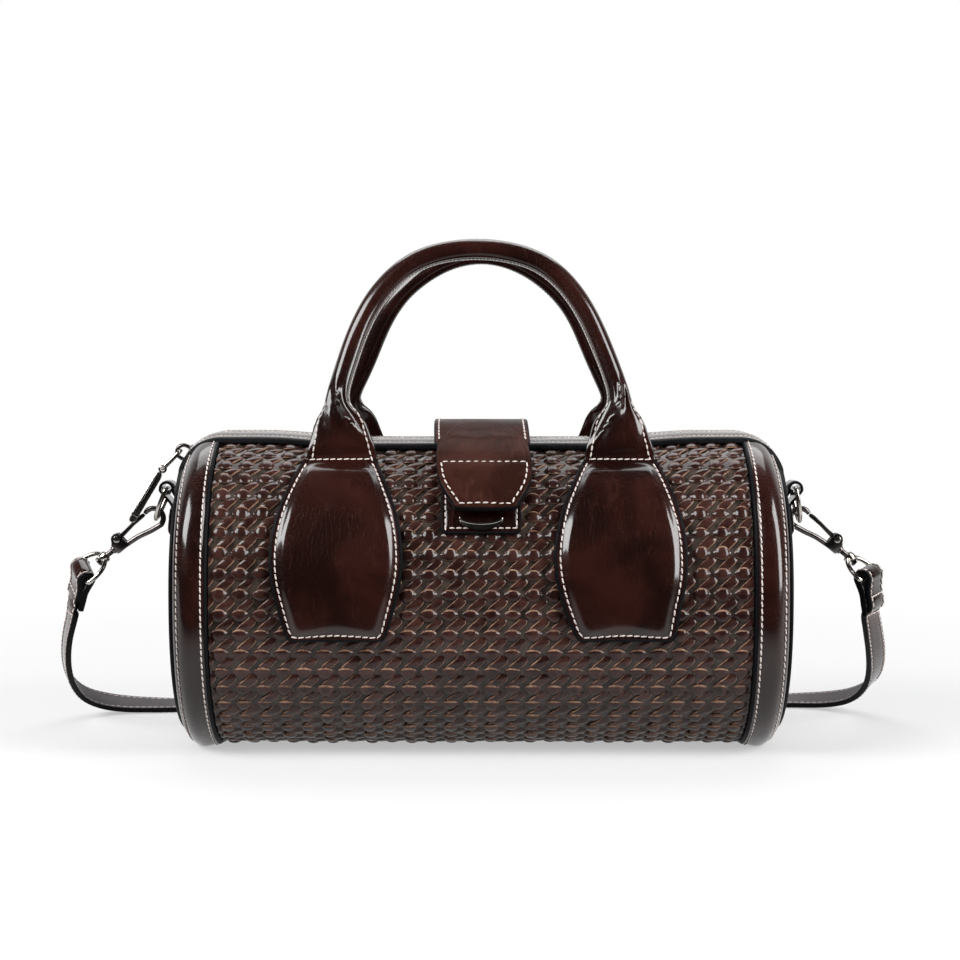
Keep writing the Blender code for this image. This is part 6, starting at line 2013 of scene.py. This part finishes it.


# Shoulder strap; its route is given as near edge in millimetres and direction across
STRAP_WIDTH = 0.015
STRAP_THICKNESS = 0.0028
STRAP_STITCH = 0.0016
LOOP_RADIUS = 0.0033
TAIL_LENGTH = 0.019
RUNNING_GAP = 0.0004
FOLD_LEAN = 0.10
STRAP_ROUTE = (
    ((-203.5, -7.0, 62.0), (-0.43, 0.89, 0.10)),
    ((-208.3, 1.0, 49.0), (-0.40, 0.915, 0.03)),
    ((-212.0, 13.0, 35.5), (-0.36, 0.93, 0.00)),
    ((-213.6, 27.0, 22.5), (-0.30, 0.94, 0.08)),
    ((-211.5, 41.0, 11.5), (-0.15, 0.96, 0.20)),
    ((-204.5, 50.5, 5.0), (0.05, 0.96, 0.27)),
    ((-193.0, 55.5, 2.2), (0.10, 0.95, 0.27)),
    ((-178.0, 57.5, 1.6), (0.02, 0.97, 0.22)),
    ((-158.0, 60.0, 1.6), (-0.05, 0.98, 0.15)),
    ((-130.0, 65.0, 1.6), (-0.03, 0.99, 0.08)),
    ((-80.0, 70.0, 1.6), (0.0, 1.0, 0.0)),
    ((0.0, 72.0, 1.6), (0.0, 1.0, 0.0)),
    ((80.0, 72.0, 1.6), (0.0, 1.0, 0.0)),
    ((130.0, 73.0, 1.6), (0.0, 1.0, 0.05)),
    ((153.0, 73.5, 1.6), (0.0, 0.98, 0.12)),
    ((171.0, 72.0, 1.6), (0.02, 0.97, 0.20)),
    ((186.5, 67.0, 2.4), (0.10, 0.95, 0.27)),
    ((197.5, 57.5, 6.2), (0.30, 0.91, 0.28)),
    ((202.6, 45.5, 14.0), (0.50, 0.82, 0.25)),
    ((202.8, 31.0, 25.0), (0.64, 0.74, 0.17)),
    ((199.2, 15.0, 39.5), (0.70, 0.69, 0.10)),
    ((195.0, 2.5, 52.5), (0.68, 0.70, 0.10)),
    ((192.2, -6.0, 62.5), (0.64, 0.75, 0.13)),
)


def fold_points(name):
    """Near-edge points of one end: its tail, the turn over the ring's bar, and the main layer."""
    side = ENDS[name][0]
    _, bar, across, _ = swivel_bar(name)
    edge = bar - across * 0.5 * STRAP_WIDTH
    up = (Vector((0.0, 0.0, 1.0)) - across * across.z).normalized()
    out = across.cross(up).normalized()
    if out.x * side < 0.0:
        out = -out
    down = (out * FOLD_LEAN - up).normalized()
    half_pair = 0.5 * (STRAP_THICKNESS + RUNNING_GAP)
    meet = LOOP_RADIUS + STRAP_THICKNESS * 1.6
    reaches = (TAIL_LENGTH, 0.5 * (TAIL_LENGTH + meet), meet)
    tail = [edge + down * reach - out * half_pair for reach in reaches]
    loop = [edge + LOOP_RADIUS * (math.cos(math.radians(turn)) * out + math.sin(math.radians(turn)) * up)
            for turn in range(205, -26, -23)]
    main = [edge + down * meet + out * half_pair, edge + down * (TAIL_LENGTH - 0.004) + out * half_pair]
    return [(point, across) for point in tail + loop + main]


def strap_stations():
    """Near edge and direction across of the whole strap, tail to tail."""
    middle = [(Vector(point) * MM, Vector(across)) for point, across in STRAP_ROUTE]
    knots = fold_points("left") + middle + list(reversed(fold_points("right")))
    edges = smooth_route([row[0] for row in knots], 4)
    crossing = smooth_route([row[1] for row in knots], 4)
    return [(edge, across.normalized()) for edge, across in zip(edges, crossing)]


class BAG_OT_strap(bpy.types.Operator):
    """Shoulder strap folded and box-stitched round the swivel rings, lying behind the bag"""

    bl_idname = "bag.strap"
    bl_label = "Shoulder Strap"

    def execute(self, context):
        stations = strap_stations()
        last = len(stations) - 1

        def frame_of(step):
            before = stations[max(step - 1, 0)][0]
            after = stations[min(step + 1, last)][0]
            edge, across = stations[step]
            return edge, across, across.cross(after - before).normalized()

        def place(step, across, height):
            edge, crossing, outward = frame_of(step)
            wave = 0.00022 * noise.noise(edge * 30.0) + 0.00012 * noise.noise(edge * 90.0)
            spot = edge + crossing * (across + 0.5 * STRAP_WIDTH)
            return spot + outward * (height - 0.5 * STRAP_THICKNESS + wave)

        shape = bmesh.new()
        add_belt(shape, last, STRAP_WIDTH, STRAP_THICKNESS, STRAP_STITCH, place, under=INSIDE)
        self.add_threads(place, frame_of, last)
        finish_piece(shape, "shoulder_strap_leather", ("glazed leather", "edge paint", "strap back"), "bag",
                     ("shoulder_strap",), smooth=50.0)
        return {"FINISHED"}

    def add_threads(self, place, frame_of, last):
        threads = bmesh.new()
        edge = 0.5 * STRAP_WIDTH - STRAP_STITCH
        steps = list(range(2, last - 1))
        outwards = [frame_of(step)[2] for step in steps]
        for hand in (-1.0, 1.0):
            outer = [place(step, hand * edge, STRAP_THICKNESS - 0.0002) for step in steps]
            add_stitches(threads, outer, outwards)
            inner = [place(step, hand * edge, 0.0) for step in steps]
            add_stitches(threads, inner, [-out for out in outwards], thread=0.8, sunk=0.6)
        fold = len(fold_points("left"))
        for start in (4 * (fold - 2) + 1, 4 * fold):
            for step in (start, last - start):
                row = [place(step, edge * (share / 5.0 - 1.0), STRAP_THICKNESS) for share in range(11)]
                out = frame_of(step)[2]
                add_stitches(threads, row, [out] * len(row))
        finish_piece(threads, "shoulder_strap_stitching", ("thread",), "bag")


# Hidden parts keep their own solids and take a finish
KEPT_NODES = {"base_board": "board", "catch_magnet": "nickel", "flap_magnet": "nickel"}
LINING_INSET = 0.0042
LINING_END = BAND_END - 0.0065
LINING_SHOULDER_INSET = 0.006
LINING_SLACK = 0.0007
LINING_MOUTH = (WOVEN_HALF_LENGTH - 0.005, 0.020)


class BAG_OT_lining(bpy.types.Operator):
    """Cloth liner with closed ends, slack between its seams and open along the zip"""

    bl_idname = "bag.lining"
    bl_label = "Lining"

    def execute(self, context):
        ends = [(LINING_END, 0.0), (LINING_END, 0.3), (LINING_END, 0.62), (LINING_END - 0.0001, 0.88),
                (LINING_END - 0.0006, 1.0)]
        count = 70
        body = [(LINING_END - 0.0012) * (1.0 - 2.0 * step / count) for step in range(count + 1)]
        rings = ends + [(x, 1.0) for x in body] + [(-x, share) for x, share in reversed(ends)]
        last = len(rings) - 1

        def place(u, v):
            x, share = rings[round(u * last)]
            slope = round_off(abs(x) - WOVEN_HALF_LENGTH, TOP_SHOULDER_RADIUS) / TOP_SHOULDER_RADIUS
            spin = Vector((x * 45.0, math.cos(math.tau * v), math.sin(math.tau * v)))
            slack = LINING_SLACK + LINING_SLACK * noise.noise(spin)
            inset = LINING_INSET + LINING_SHOULDER_INSET * slope + slack
            spot = section_point(x, 360.0 * v, -inset, LINING_INSET)
            return Vector((x, spot.y * share, AXIS_HEIGHT + (spot.z - AXIS_HEIGHT) * share))

        shape = bmesh.new()
        add_sheet(shape, last, 112, place, FACE, WELD)
        half_length, half_width = LINING_MOUTH
        mouth = []
        for face in shape.faces:
            middle = face.calc_center_median()
            if abs(middle.x) < half_length and abs(middle.y) < half_width and middle.z > AXIS_HEIGHT:
                mouth.append(face)
        bmesh.ops.delete(shape, geom=mouth, context="FACES")
        area = sum(face.calc_area() for face in shape.faces)
        lining = finish_piece(shape, "lining_cloth", ("lining",), "bag", ("lining",), inside=barrel_axis)
        wall(lining, 0.0005, offset=0.0)
        return {"FINISHED"}


class BAG_OT_inner_parts(bpy.types.Operator):
    """Base board and the two magnets, finished as they are"""

    bl_idname = "bag.inner_parts"
    bl_label = "Inner Parts"

    def execute(self, context):
        for name, finish in KEPT_NODES.items():
            item = bpy.data.objects[name]
            item.data.materials.clear()
            item.data.materials.append(finish_named(finish))
        return {"FINISHED"}


def backdrop_material(level, dim):
    """White sweep that keeps the contact shadow; to shiny parts it fades into the dim room in front."""
    shader = Shader("white_sweep")
    camera, mirrored = shader.rays()
    shown = mirrored.maths("MAXIMUM", camera)
    shader.set(Base_Color=(0.34, 0.34, 0.34, 1.0), Roughness=0.9, Specular_IOR_Level=0.0,
               Emission_Color=(1.0, 1.0, 1.0, 1.0))
    bare = Value(shader, shader.surface.outputs[0])

    def glow(strength):
        return shader.node("ShaderNodeEmission", {}, {"Strength": strength})

    distance = shader.node("ShaderNodeVectorMath", {"operation": "LENGTH"}, [shader.place], output="Value")
    lit = shader.node("ShaderNodeAddShader", {}, [bare, glow(level)])
    near = shader.choose(shown, bare, lit)
    faded = shader.choose(shader.ramp(distance, 0.30, 0.62), near, shader.choose(shown, bare, glow(1.0)))
    front = shader.ramp(shader.parts(shader.place)[1] * -1.0, 0.12, 0.32)
    finished = shader.choose(front * mirrored, faded, glow(dim))
    shader.feed(shader.tree.nodes["Material Output"].inputs["Surface"], finished)
    return shader.material


def add_softbox(name, place, target, size, power):
    light = bpy.data.lights.new(name, "AREA")
    light.shape = "RECTANGLE"
    light.size, light.size_y = size
    light.energy = power
    item = bpy.data.objects.new(name, light)
    item.location = place
    item.rotation_euler = (Vector(target) - Vector(place)).to_track_quat("-Z", "Y").to_euler()
    bpy.context.scene.collection.objects.link(item)
    return item


class BAG_OT_stage(bpy.types.Operator):
    """White sweep, soft studio lights and the camera"""

    bl_idname = "bag.stage"
    bl_label = "Stage"

    def execute(self, context):
        settings = context.scene.bag_stage
        context.scene.view_settings.view_transform = "Standard"
        shape = bmesh.new()
        bmesh.ops.create_grid(shape, x_segments=1, y_segments=1, size=6.0)
        mesh = bpy.data.meshes.new("floor")
        shape.to_mesh(mesh)
        shape.free()
        floor = bpy.data.objects.new("floor", mesh)
        mesh.materials.append(backdrop_material(settings.floor_glow, settings.dim_room))
        context.scene.collection.objects.link(floor)
        self.set_world(context.scene, settings)
        middle = (0.0, 0.0, 0.11)
        add_softbox("left_softbox", (-1.10, -0.70, 0.98), middle, (0.90, 0.75), settings.left_power)
        add_softbox("right_softbox", (1.20, -0.65, 0.65), middle, (0.60, 1.3), settings.right_power)
        add_softbox("top_softbox", (0.0, 0.62, 1.35), middle, (1.5, 0.75), settings.top_power)
        fill = add_softbox("front_fill", (-0.15, -1.5, 1.0), middle, (1.2, 0.9), settings.front_power)
        fill.visible_glossy = False
        self.add_camera(context.scene, settings)
        return {"FINISHED"}

    def set_world(self, scene, settings):
        """White to the eye; shiny parts see the white sweep behind the bag and a dim room in front of it."""
        world = bpy.data.worlds.new("studio")
        world.use_nodes = True
        world.node_tree.nodes.clear()
        studio = Nodes(world.node_tree)

        def background(colour, strength):
            return studio.node("ShaderNodeBackground", {}, {"Color": colour, "Strength": strength})

        white = background((1.0, 1.0, 1.0, 1.0), 1.0)
        dim = background((0.9, 0.95, 1.0, 1.0), settings.dim_room)
        room = background((0.95, 0.97, 1.0, 1.0), settings.room_light)
        direction = studio.node("ShaderNodeTexCoord", {}, {}, output="Generated")
        behind = studio.ramp(studio.parts(direction)[1], 0.25, 0.75)
        camera, shiny = studio.rays()
        seen = studio.choose(shiny, room, studio.choose(behind, dim, white))
        output = studio.tree.nodes.new("ShaderNodeOutputWorld")
        studio.feed(output.inputs["Surface"], studio.choose(camera, seen, white))
        scene.world = world

    def add_camera(self, scene, settings):
        camera = bpy.data.cameras.new("camera")
        camera.lens = settings.lens
        item = bpy.data.objects.new("camera", camera)
        item.location = (settings.camera_side, -settings.camera_distance, settings.camera_height)
        item.rotation_euler = (math.radians(90.0) - settings.camera_tilt, 0.0, 0.0)
        scene.collection.objects.link(item)
        scene.camera = item


# Settings a user may change
def colour(name, description, default):
    return FloatVectorProperty(name=name, description=description, default=default, subtype="COLOR", size=3,
                               min=0.0, max=1.0)


def number(name, description, default, **options):
    return FloatProperty(name=name, description=description, default=default, **options)


def length(name, description, default, low=0.0):
    return number(name, description, default, min=low, unit="LENGTH", precision=5)


def lift(name, description, default):
    return number(name, description, default, unit="LENGTH", precision=5)


class BagColours(bpy.types.PropertyGroup):
    leather_dark: colour("Leather Dark", "Deep colour of the glazed leather", (0.0080, 0.0019, 0.0012))
    leather_light: colour("Leather Light", "Where the glaze lets red-brown through", (0.022, 0.0054, 0.0036))
    flap_dark: colour("Flap Dark", "Deep colour of the flap", (0.020, 0.0068, 0.0048))
    flap_light: colour("Flap Light", "Worn colour of the flap", (0.044, 0.0160, 0.0115))
    weave_dark: colour("Weave Dark", "Deep colour of the woven strips", (0.0130, 0.0041, 0.0033))
    weave_light: colour("Weave Light", "Pulled-up colour of the woven strips", (0.045, 0.0175, 0.0135))
    edge_dark: colour("Cut Edge Dark", "Waxed cut edge of the strips", (0.080, 0.032, 0.018))
    edge_light: colour("Cut Edge Light", "Bare cut edge of the strips", (0.25, 0.140, 0.088))
    window_dark: colour("Window Strip Dark", "Deep colour of the strip behind the weave",
                        (0.018, 0.0130, 0.0106))
    window_light: colour("Window Strip Light", "Light colour of the strip behind the weave",
                         (0.054, 0.040, 0.033))
    edge_paint: colour("Edge Paint", "Paint on the leather's edges", (0.0028, 0.0028, 0.0036))
    thread: colour("Thread", "Waxed sewing thread", (0.66, 0.575, 0.535))
    nickel: colour("Nickel", "Polished plated metal", (0.52, 0.49, 0.45))
    dark_nickel: colour("Dark Nickel", "Darkened plated metal", (0.12, 0.108, 0.105))
    # The cloth's darker colour is painted shade in the valleys between threads
    cloth_valley_shade: colour("Cloth Dark", "Valleys of the lining and tape", (0.012, 0.009, 0.008))
    cloth_light: colour("Cloth Light", "Threads of the lining and tape", (0.045, 0.034, 0.030))
    back_dark: colour("Strap Back Dark", "Deep colour of the strap's inner face", (0.018, 0.0125, 0.0145))
    back_light: colour("Strap Back Light", "Light colour of the strap's inner face", (0.050, 0.038, 0.043))
    board: colour("Board", "Stiff board and cord cores", (0.085, 0.070, 0.055))


class BagWeave(bpy.types.PropertyGroup):
    columns: IntProperty(name="Columns", description="Cells of the weave along the bag", default=26,
                         min=8, max=60)
    row_pitch: length("Row Pitch", "Distance round the bag between threaded strips", 0.0095, 0.004)
    first_row: length("First Row", "Distance of the first strip from the mouth", 0.0046)
    hump_height: length("Hump Height", "Width of a strip where it humps up", 0.0060, 0.001)
    strand_width: number("Strand Width", "Width of the leaning strands", 1.0, min=0.3, max=1.5)
    strand_lean: number("Strand Lean", "How far the strands lean", 1.0, min=0.0, max=1.5)
    hump_lift: lift("Hump Lift", "Height of a hump over the panel", 0.0003)
    dip_lift: lift("Dip Lift", "Height of a dip", -0.0017)
    strand_lift: lift("Strand Lift", "Height of the diagonal strands", -0.0007)
    window_lift: lift("Window Lift", "Height of the strip behind", -0.0015)
    backing_lift: lift("Backing Lift", "Height of the skin behind the weave", -0.0021)


class BagStitching(bpy.types.PropertyGroup):
    pitch: length("Stitch Pitch", "Length of a stitch and its gap", 0.0033, 0.0015)
    flap_pitch: length("Flap Stitch Pitch", "Length of the flap's longer stitches", 0.0036, 0.0015)
    thread: length("Thread", "Thickness of the thread", 0.0009, 0.0003)


class BagHardware(bpy.types.PropertyGroup):
    tooth_pitch: length("Tooth Pitch", "Distance between zip teeth of one row", 0.0026, 0.0015)


class BagStage(bpy.types.PropertyGroup):
    camera_distance: length("Camera Distance", "From the bag's middle to the camera", 0.9)
    camera_height: length("Camera Height", "From the floor to the camera", 0.1854)
    camera_side: number("Camera Side", "Camera to the right of the middle", -0.0005, unit="LENGTH",
                        precision=4)
    camera_tilt: number("Camera Tilt", "Angle that the camera looks down", math.radians(3.52),
                        subtype="ANGLE")
    lens: number("Lens", "Focal length", 67.1, min=10.0, unit="CAMERA")
    floor_glow: number("Floor Glow", "How white the floor shows", 0.45, min=0.0)
    room_light: number("Room Light", "Light from all round", 0.22, min=0.0)
    dim_room: number("Dim Room", "What shiny parts mirror in front of the bag", 0.022, min=0.0)
    left_power: number("Left Softbox", "Power of the left lamp", 29.0, unit="POWER")
    right_power: number("Right Softbox", "Power of the right lamp", 30.0, unit="POWER")
    top_power: number("Top Softbox", "Power of the top lamp", 12.0, unit="POWER")
    front_power: number("Front Softbox", "Power of the front lamp", 1.5, unit="POWER")


class BAG_PT_sidebar(bpy.types.Panel):
    """Steps and settings of the bag"""

    bl_label = "Bowling Bag"
    bl_idname = "BAG_PT_sidebar"
    bl_space_type = "VIEW_3D"
    bl_region_type = "UI"
    bl_category = "Bag"

    def draw(self, context):
        for operator in STEPS:
            self.layout.operator(operator.bl_idname)
        for name in GROUPS:
            box = self.layout.box()
            box.label(text=name.replace("bag_", "").title())
            group = getattr(context.scene, name)
            for setting in group.bl_rna.properties:
                if setting.identifier not in ("rna_type", "name"):
                    box.prop(group, setting.identifier)


GROUPS = {"bag_colours": BagColours, "bag_weave": BagWeave, "bag_stitching": BagStitching,
          "bag_hardware": BagHardware, "bag_stage": BagStage}
STEPS = (BAG_OT_woven_body, BAG_OT_end_bands, BAG_OT_domed_ends, BAG_OT_zip_gusset, BAG_OT_zip_chain,
         BAG_OT_zip_slider, BAG_OT_handles, BAG_OT_flap, BAG_OT_hardware, BAG_OT_strap, BAG_OT_lining,
         BAG_OT_inner_parts, BAG_OT_stage)


def register():
    for item in (*GROUPS.values(), *STEPS, BAG_PT_sidebar):
        bpy.utils.register_class(item)
    for name, group in GROUPS.items():
        setattr(bpy.types.Scene, name, PointerProperty(type=group))


def unregister():
    for name in GROUPS:
        delattr(bpy.types.Scene, name)
    for item in reversed((*GROUPS.values(), *STEPS, BAG_PT_sidebar)):
        bpy.utils.unregister_class(item)


def main():
    register()
    for step in STEPS:
        prefix, operator = step.bl_idname.split(".")
        getattr(getattr(bpy.ops, prefix), operator)()
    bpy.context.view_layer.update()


if __name__ == "__main__":
    main()
